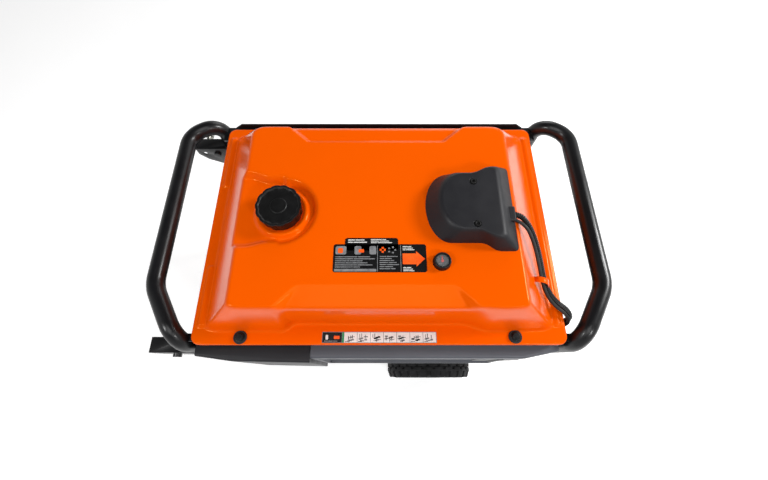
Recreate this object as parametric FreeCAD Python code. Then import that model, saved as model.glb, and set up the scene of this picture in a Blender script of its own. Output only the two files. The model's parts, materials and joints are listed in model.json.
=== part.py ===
"""Open-frame portable generator: a tubular steel frame on two wheels and two feet, with a pressed
steel fuel tank on top, an air-cooled engine and an alternator on one shaft, and a control panel in front.

Millimetres. +Z is up, +X runs along the engine shaft towards the recoil starter, and -Y faces the user
who stands at the control panel. The origin is on the ground, in the middle of the footprint.
"""
import FreeCAD, Part
import math
import os

from FreeCAD import Placement, Rotation, Vector

os.makedirs("parts", exist_ok=True)

X_AXIS, Y_AXIS, Z_AXIS = Vector(1, 0, 0), Vector(0, 1, 0), Vector(0, 0, 1)

# ---- driving dimensions ----
TUBE_R = 14.0                    # end hoops, 28 mm tube
BASE_TUBE_R = 15.0               # base cradle, 30 mm tube
RAIL_X = 371.0                   # top rail of each end hoop
RAIL_Z = 575.0
LEG_TOP_X = 318.0
LEG_BASE_X = 300.0
FRONT_LEG_Y = -203.0             # at the top; the legs lean in towards the base
BACK_LEG_Y = 212.0
BASE_Y = 186.0                   # base rails, front and back
BASE_Z = 138.0
DECK_Z = 158.0                   # top of the cross members
MOUNT_Z = 188.0                  # top of the rubber isolators

WHEEL_X = 135.0
WHEEL_R = 111.0
TYRE_IN_Y, TYRE_OUT_Y = 204.0, 256.0
RIM_R = 74.0
AXLE_R = 8.0
FOOT_X = -250.0
FOOT_HEIGHT = 22.0

TANK_X = 297.0                   # half width of the tank's flange
TANK_FRONT_Y, TANK_BACK_Y = -206.5, 206.0
FLANGE_Z = 573.0                 # top of the flange
TANK_TOP_Z = 655.0
TANK_BOTTOM_Z = 500.0
WELL_Z = 643.0                   # floor of the spill well round the filler
SHEET = 1.6                      # pressed steel sheet
WALL_X = 274.0                   # where the tank wall meets the flange
WALL_FRONT_Y, WALL_BACK_Y = -186.0, 188.0
TOP_X = 212.0                    # edge of the flat top
TOP_FRONT_Y, TOP_BACK_Y = -166.0, 146.0
FILLER = Vector(-151.6, -13.3, 0)
GAUGE = Vector(91.4, -97.7, 0)
PUMP = Vector(124.0, -13.0, 0)
COVER_Y = -9.5                   # middle line of the pump cover
TANK_BOLTS = [(-218.0, -195.5), (214.0, -194.5), (-216.0, 196.0), (216.0, 196.0)]

PANEL_TOP_Z, PANEL_BOTTOM_Z = 548.0, 332.0
PANEL_FRONT_Y = -226.0
FACE_Y = -204.0                  # recessed face that carries the outlets
PANEL_SPLIT_X = -111.0           # where the side cover ends and the panel starts
DIAL = Vector(222.0, 0, 432.0)
DUPLEX_X = (-64.0, 12.0)
TWIST_LOCK_X = 96.0
OUTLET_Z = 432.0
BREAKER_X = (-26.0, 54.0)
BREAKER_Z = 362.0

SHAFT_Y, SHAFT_Z = -15.0, 306.0
SHAFT_R = 17.0
CASE_X = (62.0, 200.0)
STATOR_R, STATOR_BORE_R = 112.0, 72.0
CYLINDER_X = 131.0
CYLINDER_TILT = 25.0             # degrees above the horizontal, towards the back
CYLINDER_BORE_R = 44.0
EXHAUST_Y, EXHAUST_Z = 125.0, 405.0

HANDLE_X, HANDLE_Z = -343.0, 515.0
HANDLE_Y = 203.0
HANDLE_R = 10.0
HANDLE_DROP = 322.0
LOCK_OFFSET = 26.0               # locking hole, from the handle's pivot


def box(x, y, z):
    """A block between two values on each axis."""
    return Part.makeBox(x[1] - x[0], y[1] - y[0], z[1] - z[0], Vector(x[0], y[0], z[0]))


def rod(start, direction, radius, length):
    return Part.makeCylinder(radius, length, Vector(*start), Vector(*direction))


def ring(start, direction, outer, inner, length):
    return rod(start, direction, outer, length).cut(rod(start, direction, inner, length))


def fused(*shapes):
    return shapes[0].multiFuse(list(shapes[1:])).removeSplitter()


def moved(shape, vector):
    copy = shape.copy()
    copy.translate(Vector(*vector))
    return copy


def rounded_rectangle(x, y, z, radius):
    """A closed wire of four lines and four arcs at height z."""
    (x0, x1), (y0, y1), r = x, y, radius
    k = r * (1 - math.sqrt(0.5))
    corners = [
        ((x1 - r, y0), (x1 - k, y0 + k), (x1, y0 + r)),
        ((x1, y1 - r), (x1 - k, y1 - k), (x1 - r, y1)),
        ((x0 + r, y1), (x0 + k, y1 - k), (x0, y1 - r)),
        ((x0, y0 + r), (x0 + k, y0 + k), (x0 + r, y0)),
    ]
    edges = []
    for i, corner in enumerate(corners):
        a, b, c = (Vector(p[0], p[1], z) for p in corner)
        nxt = corners[(i + 1) % 4][0]
        edges.append(Part.Arc(a, b, c).toShape())
        edges.append(Part.LineSegment(c, Vector(nxt[0], nxt[1], z)).toShape())
    return Part.Wire(edges)


def rounded_plate(x, y, z, radius):
    """A plate with rounded corners, between two heights."""
    return Part.Face(rounded_rectangle(x, y, z[0], radius)).extrude(Vector(0, 0, z[1] - z[0]))


def tapered(lower, upper):
    """A solid with straight walls between two wires that have the same number of edges."""
    return Part.makeLoft([lower, upper], True, True)


def polygon_prism(points, direction):
    wire = Part.makePolygon([Vector(*p) for p in points] + [Vector(*points[0])])
    return Part.Face(wire).extrude(Vector(*direction))


def eased(shape, radius, pick):
    """Fillets the edges that pick() accepts."""
    return shape.makeFillet(radius, [e for e in shape.Edges if pick(e)])


def runs_along(edge, axis):
    if edge.Curve.TypeId != "Part::GeomLine":
        return False
    return abs(abs(edge.Curve.Direction.dot(axis)) - 1) < 1e-6


def bent_rod(points, bends, radius):
    """A rod along straight runs, with an arc of the given radius at each inner point."""
    p = [Vector(*q) for q in points]
    edges, start = [], p[0]
    for i in range(1, len(p) - 1):
        d_in = (p[i] - p[i - 1]).normalize()
        d_out = (p[i + 1] - p[i]).normalize()
        half = d_in.getAngle(d_out) / 2
        reach = bends[i - 1] * math.tan(half)
        towards_centre = (d_out - d_in).normalize()
        first, last = p[i] - d_in * reach, p[i] + d_out * reach
        middle = p[i] + towards_centre * (bends[i - 1] * (1 / math.cos(half) - 1))
        if (first - start).Length > 1e-6:
            edges.append(Part.LineSegment(start, first).toShape())
        edges.append(Part.Arc(first, middle, last).toShape())
        start = last
    edges.append(Part.LineSegment(start, p[-1]).toShape())
    path = Part.Wire(edges)
    profile = Part.Wire(Part.makeCircle(radius, p[0], (p[1] - p[0]).normalize()))
    return path.makePipeShell([profile], True, True)


def cord_bends(points):
    """The largest arc that the runs on both sides of each inner point leave room for."""
    p = [Vector(*q) for q in points]
    radii = []
    for i in range(1, len(p) - 1):
        turn = (p[i] - p[i - 1]).getAngle(p[i + 1] - p[i])
        shorter = min((p[i] - p[i - 1]).Length, (p[i + 1] - p[i]).Length)
        radii.append(0.45 * shorter / math.tan(turn / 2))
    return radii


def save(name, *shapes):
    shape = shapes[0] if len(shapes) == 1 else Part.makeCompound(list(shapes))
    if not shape.isValid() or not shape.Solids:
        raise ValueError(f"{name} is not a valid solid")
    shape.exportStep(f"parts/{name}.step")


# ---- frame ----
def hoop(side):
    """End hoop: two leaning legs, and a top rail that swings out past the tank to be a lifting grip."""
    points = [
        (side * LEG_BASE_X, -BASE_Y, BASE_Z),
        (side * LEG_TOP_X, FRONT_LEG_Y, RAIL_Z),
        (side * RAIL_X, -113, RAIL_Z),
        (side * RAIL_X, 190, RAIL_Z),
        (side * LEG_TOP_X, BACK_LEG_Y + 6, RAIL_Z),
        (side * LEG_BASE_X, BASE_Y, BASE_Z),
    ]
    return bent_rod(points, [34, 62, 40, 30], TUBE_R)


def axle_bracket(side):
    """Plate welded under a base rail, with a hole for the axle."""
    y = side * BASE_Y
    plate = polygon_prism(
        [
            (WHEEL_X - 34, y - 4, BASE_Z - 6),
            (WHEEL_X - 16, y - 4, WHEEL_R - 18),
            (WHEEL_X + 16, y - 4, WHEEL_R - 18),
            (WHEEL_X + 34, y - 4, BASE_Z - 6),
        ],
        (0, 8, 0),
    )
    return plate.cut(rod((WHEEL_X, y - 5, WHEEL_R), (0, 1, 0), AXLE_R + 0.05, 10))


def cross_member(x, width):
    """Formed channel, open below, that lies across both base rails."""
    deck = box((x - width / 2, x + width / 2), (-BASE_Y, BASE_Y), (DECK_Z - 10, DECK_Z))
    inner = (x - width / 2 + 3, x + width / 2 - 3)
    return deck.cut(box(inner, (-BASE_Y + 18, BASE_Y - 18), (DECK_Z - 10, DECK_Z - 3)))


def base():
    """Base cradle: rails, end bars, cross members and axle brackets, welded into one piece."""
    rails = [rod((-318, s * BASE_Y, BASE_Z), (1, 0, 0), BASE_TUBE_R, 636) for s in (-1, 1)]
    bars = [rod((s * 268, -BASE_Y, BASE_Z), (0, 1, 0), TUBE_R, 2 * BASE_Y) for s in (-1, 1)]
    members = [cross_member(x, width) for x, width in ((150, 60), (-90, 60), (-236, 64))]
    return fused(*rails, *bars, *members, axle_bracket(-1), axle_bracket(1))


base_frame = base()
left_hoop = hoop(-1).cut(base_frame)
right_hoop = hoop(1).cut(base_frame)
hoops = Part.makeCompound([left_hoop, right_hoop])


ISOLATORS = [(x, y) for x in (150.0, -90.0) for y in (-90.0, 90.0)]


def isolator(x, y):
    """Rubber mount: a waisted block between two steel discs."""
    profile = [(0, 0), (17, 0), (17, 5), (13, 15), (17, 25), (17, 30), (0, 30)]
    wire = Part.makePolygon([Vector(r, 0, z) for r, z in profile] + [Vector(0, 0, 0)])
    return moved(Part.Face(wire).revolve(Vector(0, 0, 0), Z_AXIS, 360), (x, y, DECK_Z))


def front_support():
    """Channel between the front legs that carries the tank's front flange and the panel."""
    bar = box((-312, 312), (-201, -188), (536, 560))
    bar = bar.cut(box((-296, 296), (-198, -187), (535, 557)))
    return bar.cut(hoops)


def rear_support():
    """Angle between the back legs, with an upturned lip behind the tank."""
    shelf = box((-312, 312), (189, 220), (556, 560))
    outline = [(-290, 520), (-290, 562), (-276, 572), (276, 572), (290, 562), (290, 520)]
    lip = polygon_prism([(x, 217, z) for x, z in outline], (0, 3, 0))
    return fused(shelf, lip).cut(hoops)


def bolt_clearance(x, y):
    return rod((x, y, 530), (0, 0, 1), 4.6, 60)


bolt_holes = Part.makeCompound([bolt_clearance(x, y) for x, y in TANK_BOLTS])
front_tank_support = front_support().cut(bolt_holes)
rear_tank_support = rear_support().cut(bolt_holes)


def handle_bracket(side):
    """U-shaped bracket, open below, welded to a leg. It holds one arm of the folding handle."""
    y = side * HANDLE_Y
    cheek = [(-384, 530), (-384, 512), (-371, 494), (-345, 478), (-316, 470), (-316, 530)]
    inside, outside = y - 12.8, y + 12.8
    plates = []
    for start in (inside, outside - 2.5):
        plates.append(polygon_prism([(x, start, z) for x, z in cheek], (0, 2.5, 0)))
    web = box((-384, -316), (inside, outside), (527.5, 530))
    bracket = fused(*plates, web)
    holes = [rod((HANDLE_X, y - 20, HANDLE_Z), (0, 1, 0), 4.0, 40)]
    holes.append(rod((HANDLE_X - LOCK_OFFSET, y - 20, HANDLE_Z), (0, 1, 0), 3.98, 40))
    bolt = rod((HANDLE_X, inside - 6, HANDLE_Z), (0, 1, 0), 4.0, 37.6)
    heads = [rod((HANDLE_X, start, HANDLE_Z), (0, 1, 0), 7, 6) for start in (inside - 6, outside)]
    return fused(bracket.cut(Part.makeCompound(holes)).cut(hoops), bolt, *heads)


def support_leg(side):
    """Pressed leg under a base rail, with a flared pad for the rubber foot."""
    y = side * BASE_Y
    post = tapered(
        rounded_rectangle((FOOT_X - 19, FOOT_X + 19), (y - 17, y + 17), FOOT_HEIGHT, 5),
        rounded_rectangle((FOOT_X - 26, FOOT_X + 26), (y - 12, y + 12), BASE_Z, 5),
    )
    return post.cut(base_frame)


def rubber_foot(side):
    foot = Part.makeCone(20, 24, FOOT_HEIGHT, Vector(FOOT_X, side * BASE_Y, 0))
    return eased(foot, 3, lambda e: e.BoundBox.ZMax < 1)


axle = rod((WHEEL_X, -TYRE_OUT_Y + 3, WHEEL_R), (0, 1, 0), AXLE_R, 2 * TYRE_OUT_Y - 6)
washers = [
    ring((WHEEL_X, y, WHEEL_R), (0, 1, 0), 14, AXLE_R, 1.6)
    for y in (-252.0, -209.6, 208.0, 250.4)
]

save("base_frame", base_frame)
save("left_hoop", left_hoop)
save("right_hoop", right_hoop)
save("isolators", *[isolator(x, y) for x, y in ISOLATORS])
save("front_tank_support", front_tank_support)
save("rear_tank_support", rear_tank_support)
save("handle_brackets", handle_bracket(-1), handle_bracket(1))
save("support_legs", support_leg(-1), support_leg(1))
save("rubber_feet", rubber_foot(-1), rubber_foot(1))
save("axle", axle, *washers)


# ---- wheels ----
def tyre(side):
    """Solid tyre with rounded shoulders, around the rim."""
    half = (TYRE_OUT_Y - TYRE_IN_Y) / 2
    outer, inner = WHEEL_R, RIM_R
    profile = [
        (inner, -half + 5), (inner + 8, -half), (outer - 12, -half), (outer, -half + 11),
        (outer, half - 11), (outer - 12, half), (inner + 8, half), (inner, half - 5),
    ]
    wire = Part.makePolygon([Vector(r, y, 0) for r, y in profile + profile[:1]])
    solid = Part.Face(wire).revolve(Vector(0, 0, 0), Y_AXIS, 360)
    return moved(solid, (WHEEL_X, side * (TYRE_OUT_Y - half), WHEEL_R))


def rim(side):
    """Moulded wheel centre: hub, web and the drum that the tyre grips."""
    middle = side * (TYRE_IN_Y + TYRE_OUT_Y) / 2
    drum = ring((0, -21, 0), (0, 1, 0), RIM_R, RIM_R - 6, 42)
    web = rod((0, -4, 0), (0, 1, 0), RIM_R - 5, 8)
    hub = rod((0, -20, 0), (0, 1, 0), 19, 40)
    windows = [
        rod((45 * math.cos(a), -10, 45 * math.sin(a)), (0, 1, 0), 13, 20)
        for a in (math.radians(60 * i) for i in range(6))
    ]
    bore = rod((0, -30, 0), (0, 1, 0), AXLE_R + 0.08, 60)
    solid = fused(drum, web, hub).cut(Part.makeCompound(windows)).cut(bore)
    return moved(solid, (WHEEL_X, middle, WHEEL_R))


for end, side in (("front", -1), ("rear", 1)):
    save(f"tyre_{end}", tyre(side))
    save(f"rim_{end}", rim(side))


# ---- folding handle ----
def handle():
    """U-shaped tube that hangs from the two brackets and swings up to pull the machine."""
    bottom = HANDLE_Z - HANDLE_DROP
    points = [
        (HANDLE_X, -HANDLE_Y, HANDLE_Z + 6.5),
        (HANDLE_X, -HANDLE_Y, HANDLE_Z - 190),
        (HANDLE_X, -HANDLE_Y + 46, bottom),
        (HANDLE_X, HANDLE_Y - 46, bottom),
        (HANDLE_X, HANDLE_Y, HANDLE_Z - 190),
        (HANDLE_X, HANDLE_Y, HANDLE_Z + 6.5),
    ]
    tube = bent_rod(points, [60, 45, 45, 60], HANDLE_R)
    for y in (-HANDLE_Y, HANDLE_Y):
        tube = tube.cut(rod((HANDLE_X, y - 20, HANDLE_Z), (0, 1, 0), 4.06, 40))
        tube = tube.cut(rod((HANDLE_X, y - 20, HANDLE_Z - LOCK_OFFSET), (0, 1, 0), 4.4, 40))
    return tube


def grip():
    """Ribbed rubber sleeve on the handle's cross bar."""
    bottom = HANDLE_Z - HANDLE_DROP
    sleeve = ring((HANDLE_X, -100, bottom), (0, 1, 0), 15, HANDLE_R + 0.02, 200)
    grooves = [ring((HANDLE_X, -82 + 20 * i, bottom), (0, 1, 0), 16, 13.4, 4) for i in range(9)]
    return sleeve.cut(Part.makeCompound(grooves))


def lock_pin():
    """Spring pin in the rear bracket, drawn out. Pushed in, it holds the raised handle."""
    x, y = HANDLE_X - LOCK_OFFSET, HANDLE_Y + 12.8
    knob = eased(rod((x, y + 17, HANDLE_Z), (0, 1, 0), 9, 9), 2, lambda e: e.BoundBox.YMin > y + 25)
    return fused(rod((x, y - 2, HANDLE_Z), (0, 1, 0), 3.9, 20), knob)


save("handle_tube", handle())
save("handle_grip", grip())
save("lock_pin", lock_pin())


# ---- fuel tank ----
def tank_outline(half_x, y, z, radius, inset):
    """One level of the tank's form; an inset gives the inside of the sheet."""
    x = (-half_x + inset, half_x - inset)
    return rounded_rectangle(x, (y[0] + inset, y[1] - inset), z, radius - inset)


def tank_dome(inset):
    """The form above the flange."""
    foot = tank_outline(WALL_X, (WALL_FRONT_Y, WALL_BACK_Y), FLANGE_Z - 3, 40, inset)
    top = tank_outline(TOP_X, (TOP_FRONT_Y, TOP_BACK_Y), TANK_TOP_Z - inset, 34, inset)
    return tapered(foot, top)


def tank_bowl(inset):
    """The form below the flange."""
    floor = tank_outline(250, (-165, 166), TANK_BOTTOM_Z + inset, 40, inset)
    rim_level = tank_outline(WALL_X, (WALL_FRONT_Y, WALL_BACK_Y), FLANGE_Z - 3, 40, inset)
    return tapered(floor, rim_level)


def flange_plate(inset, z):
    return Part.Face(tank_outline(TANK_X, (TANK_FRONT_Y, TANK_BACK_Y), z[0], 14, inset)).extrude(
        Vector(0, 0, z[1] - z[0])
    )


def spill_well(grow):
    """Sunken area round the filler that drains over the left wall."""
    x, y = (-240 - grow, -105 + grow), (-76 - grow, 38 + grow)
    return rounded_plate(x, y, (WELL_Z - grow, 700), 24 + grow)


def end_steps(grow):
    """The sloping step at the front edge of the top and the shallow step at the back edge."""
    top, low = TANK_TOP_Z - grow, TANK_TOP_Z - 12 - grow
    slope = [(-132, top + 5), (-132, top), (-180, low), (-180, top + 5)]
    front = polygon_prism([(-150, y, z) for y, z in slope], (296, 0, 0))
    return front.fuse(box((-118, 138), (113 - grow, 160), (TANK_TOP_Z - 9 - grow, TANK_TOP_Z + 5)))


def upper_shell():
    """Upper pressing: flat top with a spill well, sloping walls, and a flange with a skirt."""
    flange = flange_plate(0, (FLANGE_Z - 3, FLANGE_Z))
    skirt = flange_plate(0, (561, FLANGE_Z)).cut(flange_plate(SHEET, (561, FLANGE_Z)))
    pressing = eased(tank_dome(0), 11, lambda e: e.BoundBox.ZMin > TANK_TOP_Z - 0.01)
    pressing = pressing.cut(spill_well(0)).cut(end_steps(0))
    cavity = tank_dome(SHEET).cut(spill_well(SHEET)).cut(end_steps(SHEET))
    solid = fused(flange, skirt, pressing).cut(cavity)
    holes = [
        rod((FILLER.x, FILLER.y, 600), (0, 0, 1), 31, 100),
        rod((GAUGE.x, GAUGE.y, 600), (0, 0, 1), 9, 100),
        rod((PUMP.x, PUMP.y, 600), (0, 0, 1), 30, 100),
    ]
    return solid.cut(Part.makeCompound(holes)).cut(bolt_holes)


def lower_shell():
    """Lower pressing, seam-welded to the upper one under the flange."""
    flange = flange_plate(2, (FLANGE_Z - 6, FLANGE_Z - 3))
    return fused(flange, tank_bowl(0)).cut(tank_bowl(SHEET)).cut(bolt_holes)


def tank_bolt(x, y):
    washer = ring((x, y, FLANGE_Z), (0, 0, 1), 9.5, 4.0, 2.5)
    head = rod((x, y, FLANGE_Z + 2.5), (0, 0, 1), 6.2, 5)
    head = eased(head, 1.5, lambda e: e.BoundBox.ZMin > FLANGE_Z + 7)
    return fused(washer, head, rod((x, y, 548), (0, 0, 1), 4.0, 26))


def filler_neck():
    """Neck that the cap closes: a tube with a rolled rim, open into the tank."""
    tube = ring((FILLER.x, FILLER.y, 618), (0, 0, 1), 29, 26, 38)
    collar = ring((FILLER.x, FILLER.y, WELL_Z), (0, 0, 1), 44, 26, 4)
    return fused(tube, collar)


def cap_core():
    """Inner cap: the plug and seal that seat in the neck."""
    plug = rod((FILLER.x, FILLER.y, 636), (0, 0, 1), 24, 21)
    return fused(plug, rod((FILLER.x, FILLER.y, 656.4), (0, 0, 1), 30, 3))


def fuel_cap():
    """Outer cap: a fluted grip that turns on the core until its ratchet clicks."""
    shell = rod((FILLER.x, FILLER.y, 648.5), (0, 0, 1), 35, 23)
    shell = shell.cut(rod((FILLER.x, FILLER.y, 648), (0, 0, 1), 31, 11.8))
    flutes = [
        rod((FILLER.x + 38.5 * math.cos(a), FILLER.y + 38.5 * math.sin(a), 646), (0, 0, 1), 5.5, 30)
        for a in (math.radians(30 * i + 15) for i in range(12))
    ]
    return shell.cut(Part.makeCompound(flutes))


def gauge_housing():
    """Round fuel gauge pressed into the tank top, with the float's stem and fork below it."""
    body = rod((GAUGE.x, GAUGE.y, TANK_TOP_Z), (0, 0, 1), 12.5, 10)
    dial_space = rod((GAUGE.x, GAUGE.y, TANK_TOP_Z + 4), (0, 0, 1), 9.5, 10)
    stem = rod((GAUGE.x, GAUGE.y, 608), (0, 0, 1), 4, 48)
    fork = box((GAUGE.x - 5, GAUGE.x + 5), (GAUGE.y - 5, GAUGE.y + 5), (594, 610))
    fork = fork.cut(box((GAUGE.x - 6, GAUGE.x + 6), (GAUGE.y - 3, GAUGE.y + 3), (590, 607)))
    fork = fork.cut(rod((GAUGE.x, GAUGE.y - 8, 600), (0, 1, 0), 2.56, 16))
    return fused(eased(body, 2, lambda e: e.BoundBox.ZMin > TANK_TOP_Z + 9).cut(dial_space), stem, fork)


def gauge_needle():
    boss = rod((GAUGE.x, GAUGE.y, TANK_TOP_Z + 4.4), (0, 0, 1), 2, 3)
    pointer = box((GAUGE.x - 1, GAUGE.x + 1), (GAUGE.y, GAUGE.y + 7.5), (TANK_TOP_Z + 5.4, TANK_TOP_Z + 6.4))
    return fused(boss, pointer)


def float_arm():
    """Arm on the gauge's stem with a float that follows the fuel."""
    pivot = (GAUGE.x, GAUGE.y - 6, 600)
    arm = box((GAUGE.x - 62, GAUGE.x), (GAUGE.y - 1.2, GAUGE.y + 1.2), (598.5, 601.5))
    float_body = rod((GAUGE.x - 70, GAUGE.y - 16, 600), (0, 1, 0), 11, 32)
    return fused(rod(pivot, (0, 1, 0), 2.5, 12), arm, float_body)


# The loom and the fuel hose leave the pump cover, pass under the clip on the tank's right wall and go
# down between the tank and the right hoop to the box behind the panel.
LOOM_R, HOSE_R = 4.5, 2.6
HOSE_SPACING = 8.2
WALL_NORMAL = Vector(0.75, -0.2, 0.63)
LOOM = [Vector(*p) for p in (
    (200, -24, 661.5), (214, -24, 661.5), (227, -38, 655), (238, -54, 643),
    (246, -74, 631), (250, -95, 624), (254, -114, 616), (264, -130, 603),
    (280, -143, 590), (297, -153, 584), (308, -163, 572), (308, -168, 553),
    (298, -168, 534), (279, -165, 517), (279, -165, 494),
)]


def beside(route, spacing):
    """A route that keeps a fixed distance from another one, on the side towards the front."""
    points = [route[0] + Vector(0, -spacing, -1.5), route[1] + Vector(-6, -spacing, -1.5)]
    for i in range(2, len(route)):
        along = -Z_AXIS if i > len(route) - 3 else route[i + 1] - route[i - 1]
        points.append(route[i] + along.cross(WALL_NORMAL).normalize() * spacing)
    return points


HOSE = beside(LOOM, HOSE_SPACING)


def pump_outline(z, left, reach, half, waist, shoulder, right, ends):
    """Outline of the pump cover: an oval left end, a waist and wide square shoulders."""
    cx, cy = left + reach, COVER_Y
    top, bottom = cy + half, cy - half
    lower = [(cx, bottom), (waist, bottom), (shoulder, cy - ends), (right, cy - ends)]
    upper = [(right, cy + ends), (shoulder, cy + ends), (waist, top), (cx, top)]
    line_points = [Vector(x, y, z) for x, y in lower + upper]
    edges = [Part.LineSegment(a, b).toShape() for a, b in zip(line_points, line_points[1:])]
    oval = Part.Ellipse(Vector(cx, top, z), Vector(left, cy, z), Vector(cx, cy, z))
    first = Part.Arc(oval, 0, math.pi / 2).toShape()
    second = Part.Arc(oval, math.pi / 2, math.pi).toShape()
    return Part.Wire(edges + [first, second])


def pump_cover_form(inset):
    low = pump_outline(
        TANK_TOP_Z, 72 + inset, 36, 58.5 - inset, 158, 174, 207 - inset, 71.5 - inset
    )
    high = pump_outline(
        TANK_TOP_Z + 27 - inset, 91 + inset, 33, 47 - inset, 146, 166, 182 - inset, 58 - inset
    )
    return tapered(low, high)


COVER_SCREWS = [(142.0, 21.5), (142.0, -47.8)]


def pump_cover():
    """Moulded cover over the fuel pump's head, with a lead outlet on its right side."""
    outlet = box((184, 207), (-38, -13), (TANK_TOP_Z, TANK_TOP_Z + 13))
    shell = fused(pump_cover_form(0), outlet).cut(pump_cover_form(2.5))
    bosses = [rod((x, y, TANK_TOP_Z), (0, 0, 1), 5.5, 26) for x, y in COVER_SCREWS]
    shell = fused(shell, *bosses)
    sinks = [rod((x, y, TANK_TOP_Z + 24), (0, 0, 1), 4.7, 10) for x, y in COVER_SCREWS]
    drills = [rod((x, y, TANK_TOP_Z), (0, 0, 1), 2.1, 30) for x, y in COVER_SCREWS]
    lead_holes = [
        rod((180, p.y, p.z), (1, 0, 0), r + 0.4, 40)
        for p, r in ((LOOM[0], LOOM_R), (HOSE[0], HOSE_R))
    ]
    return shell.cut(Part.makeCompound(sinks + drills + lead_holes))


def cover_screw(x, y):
    shank = rod((x, y, TANK_TOP_Z + 4), (0, 0, 1), 2.0, 21)
    head = rod((x, y, TANK_TOP_Z + 24), (0, 0, 1), 4.5, 4)
    return fused(shank, head).cut(rod((x, y, TANK_TOP_Z + 26), (0, 0, 1), 2.2, 4))


def pump_module():
    """In-tank fuel pump: a canister that hangs from a flange under the cover."""
    canister = rod((PUMP.x, PUMP.y, 512), (0, 0, 1), 28, 144)
    flange = rod((PUMP.x, PUMP.y, TANK_TOP_Z), (0, 0, 1), 33, 4)
    nozzle = rod((PUMP.x + 10, PUMP.y - 8, 659), (0, 0, 1), 5, 12)
    return fused(canister, flange, nozzle)


save("tank_upper_shell", upper_shell())
save("tank_lower_shell", lower_shell())
save("tank_bolts", *[tank_bolt(x, y) for x, y in TANK_BOLTS])
save("filler_neck", filler_neck())
save("cap_core", cap_core())
save("fuel_cap", fuel_cap())
save("gauge_housing", gauge_housing())
save("gauge_needle", gauge_needle())
save("float_arm", float_arm())
save("pump_cover", pump_cover())
save("pump_cover_screws", *[cover_screw(x, y) for x, y in COVER_SCREWS])
save("pump_module", pump_module())
save("wiring_loom", bent_rod(LOOM, cord_bends(LOOM), LOOM_R))
save("fuel_hose", bent_rod(HOSE, cord_bends(HOSE), HOSE_R))


# ---- control panel ----
LID_Y = FACE_Y - 2.5             # back of the flaps
PIN_Y = LID_Y - 2.5
PIN_R = 1.5
LIDS = [(x, OUTLET_Z + 46, 18) for x in DUPLEX_X] + [(TWIST_LOCK_X, OUTLET_Z + 33, 14)]


def lid_hinge(x, z, half):
    """Two lugs on the panel's face and the pin between them that carries a flap."""
    spans = [(x - half - 3.3, x - half - 0.3), (x + half + 0.3, x + half + 3.3)]
    lugs = [box(span, (PIN_Y - 3, FACE_Y + 1), (z - 4, z + 4)) for span in spans]
    return lugs + [rod((x - half - 3, PIN_Y, z), (1, 0, 0), PIN_R, 2 * half + 6)]


def knuckle(x, z, half):
    """The flap's barrel, bored for the pin."""
    return ring((x - half, PIN_Y, z), (1, 0, 0), 4, PIN_R + 0.06, 2 * half)


def control_panel():
    """Moulded panel: a hooded bezel round a recessed face with the outlets, breakers and dial."""
    block = polygon_prism(
        [
            (PANEL_SPLIT_X, -201, PANEL_BOTTOM_Z), (PANEL_SPLIT_X, PANEL_FRONT_Y, PANEL_BOTTOM_Z),
            (236, PANEL_FRONT_Y, PANEL_BOTTOM_Z), (292, -215, PANEL_BOTTOM_Z), (292, -201, PANEL_BOTTOM_Z),
        ],
        (0, 0, PANEL_TOP_Z - PANEL_BOTTOM_Z),
    )
    block = eased(block, 5, lambda e: e.BoundBox.ZMin > PANEL_TOP_Z - 1 and e.BoundBox.YMax < -210)
    recess = box((PANEL_SPLIT_X + 8, 284), (-240, FACE_Y), (PANEL_BOTTOM_Z + 8, PANEL_TOP_Z - 24))
    holes = [rod((DIAL.x, -240, DIAL.z), (0, 1, 0), 5.88, 60)]
    holes += [box((x - 18, x + 18), (-240, -190), (OUTLET_Z - 36, OUTLET_Z + 36)) for x in DUPLEX_X]
    holes.append(rod((TWIST_LOCK_X, -240, OUTLET_Z), (0, 1, 0), 22, 60))
    holes += [rod((x, -240, BREAKER_Z), (0, 1, 0), 5.68, 60) for x in BREAKER_X]
    panel = block.cut(recess).cut(Part.makeCompound(holes))
    return fused(panel, *[part for lid in LIDS for part in lid_hinge(*lid)])


def side_cover():
    """Darker moulded cover at the left end, over the regulator and the alarm module."""
    z0, height = PANEL_BOTTOM_Z, PANEL_TOP_Z - PANEL_BOTTOM_Z
    def plan(inset):
        return [
            (-299 + inset, -211, z0 + inset), (-299 + inset, -222 + inset, z0 + inset),
            (-238, -230 + inset, z0 + inset), (PANEL_SPLIT_X - 0.5 - inset, -232.5 + inset, z0 + inset),
            (PANEL_SPLIT_X - 0.5 - inset, -211, z0 + inset),
        ]
    block = polygon_prism(plan(0), (0, 0, height))
    block = eased(block, 4, lambda e: e.BoundBox.ZMin > PANEL_TOP_Z - 1 and e.BoundBox.YMax < -212)
    shell = block.cut(polygon_prism(plan(3), (0, 0, height - 6)))
    ledge = box((-299, PANEL_SPLIT_X - 0.5), (-212, -202.5), (PANEL_TOP_Z - 3, PANEL_TOP_Z))
    return fused(shell, ledge)


def back_box():
    """Folded steel box behind the panel that encloses the wiring."""
    outer = box((-288, 288), (-201, -150), (338, 494))
    step = box((-288, PANEL_SPLIT_X - 1), (-211, -201), (338, 494))
    inner = box((-286, 286), (-201.5, -152), (340, 492))
    inner_step = box((-286, PANEL_SPLIT_X - 3), (-211, -201), (340, 492))
    return fused(outer, step).cut(inner).cut(inner_step)


def duplex_outlet(x):
    """Two-socket outlet body, set through the panel face."""
    body = box((x - 17.5, x + 17.5), (FACE_Y - 1.5, -176), (OUTLET_Z - 35.5, OUTLET_Z + 35.5))
    slots = []
    for z in (OUTLET_Z - 19, OUTLET_Z + 19):
        slots += [box((x + dx - 1.1, x + dx + 1.1), (-210, -192), (z - 2, z + 6)) for dx in (-6.5, 6.5)]
        slots.append(rod((x, -210, z - 9), (0, 1, 0), 2.6, 18))
    return body.cut(Part.makeCompound(slots))


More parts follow.
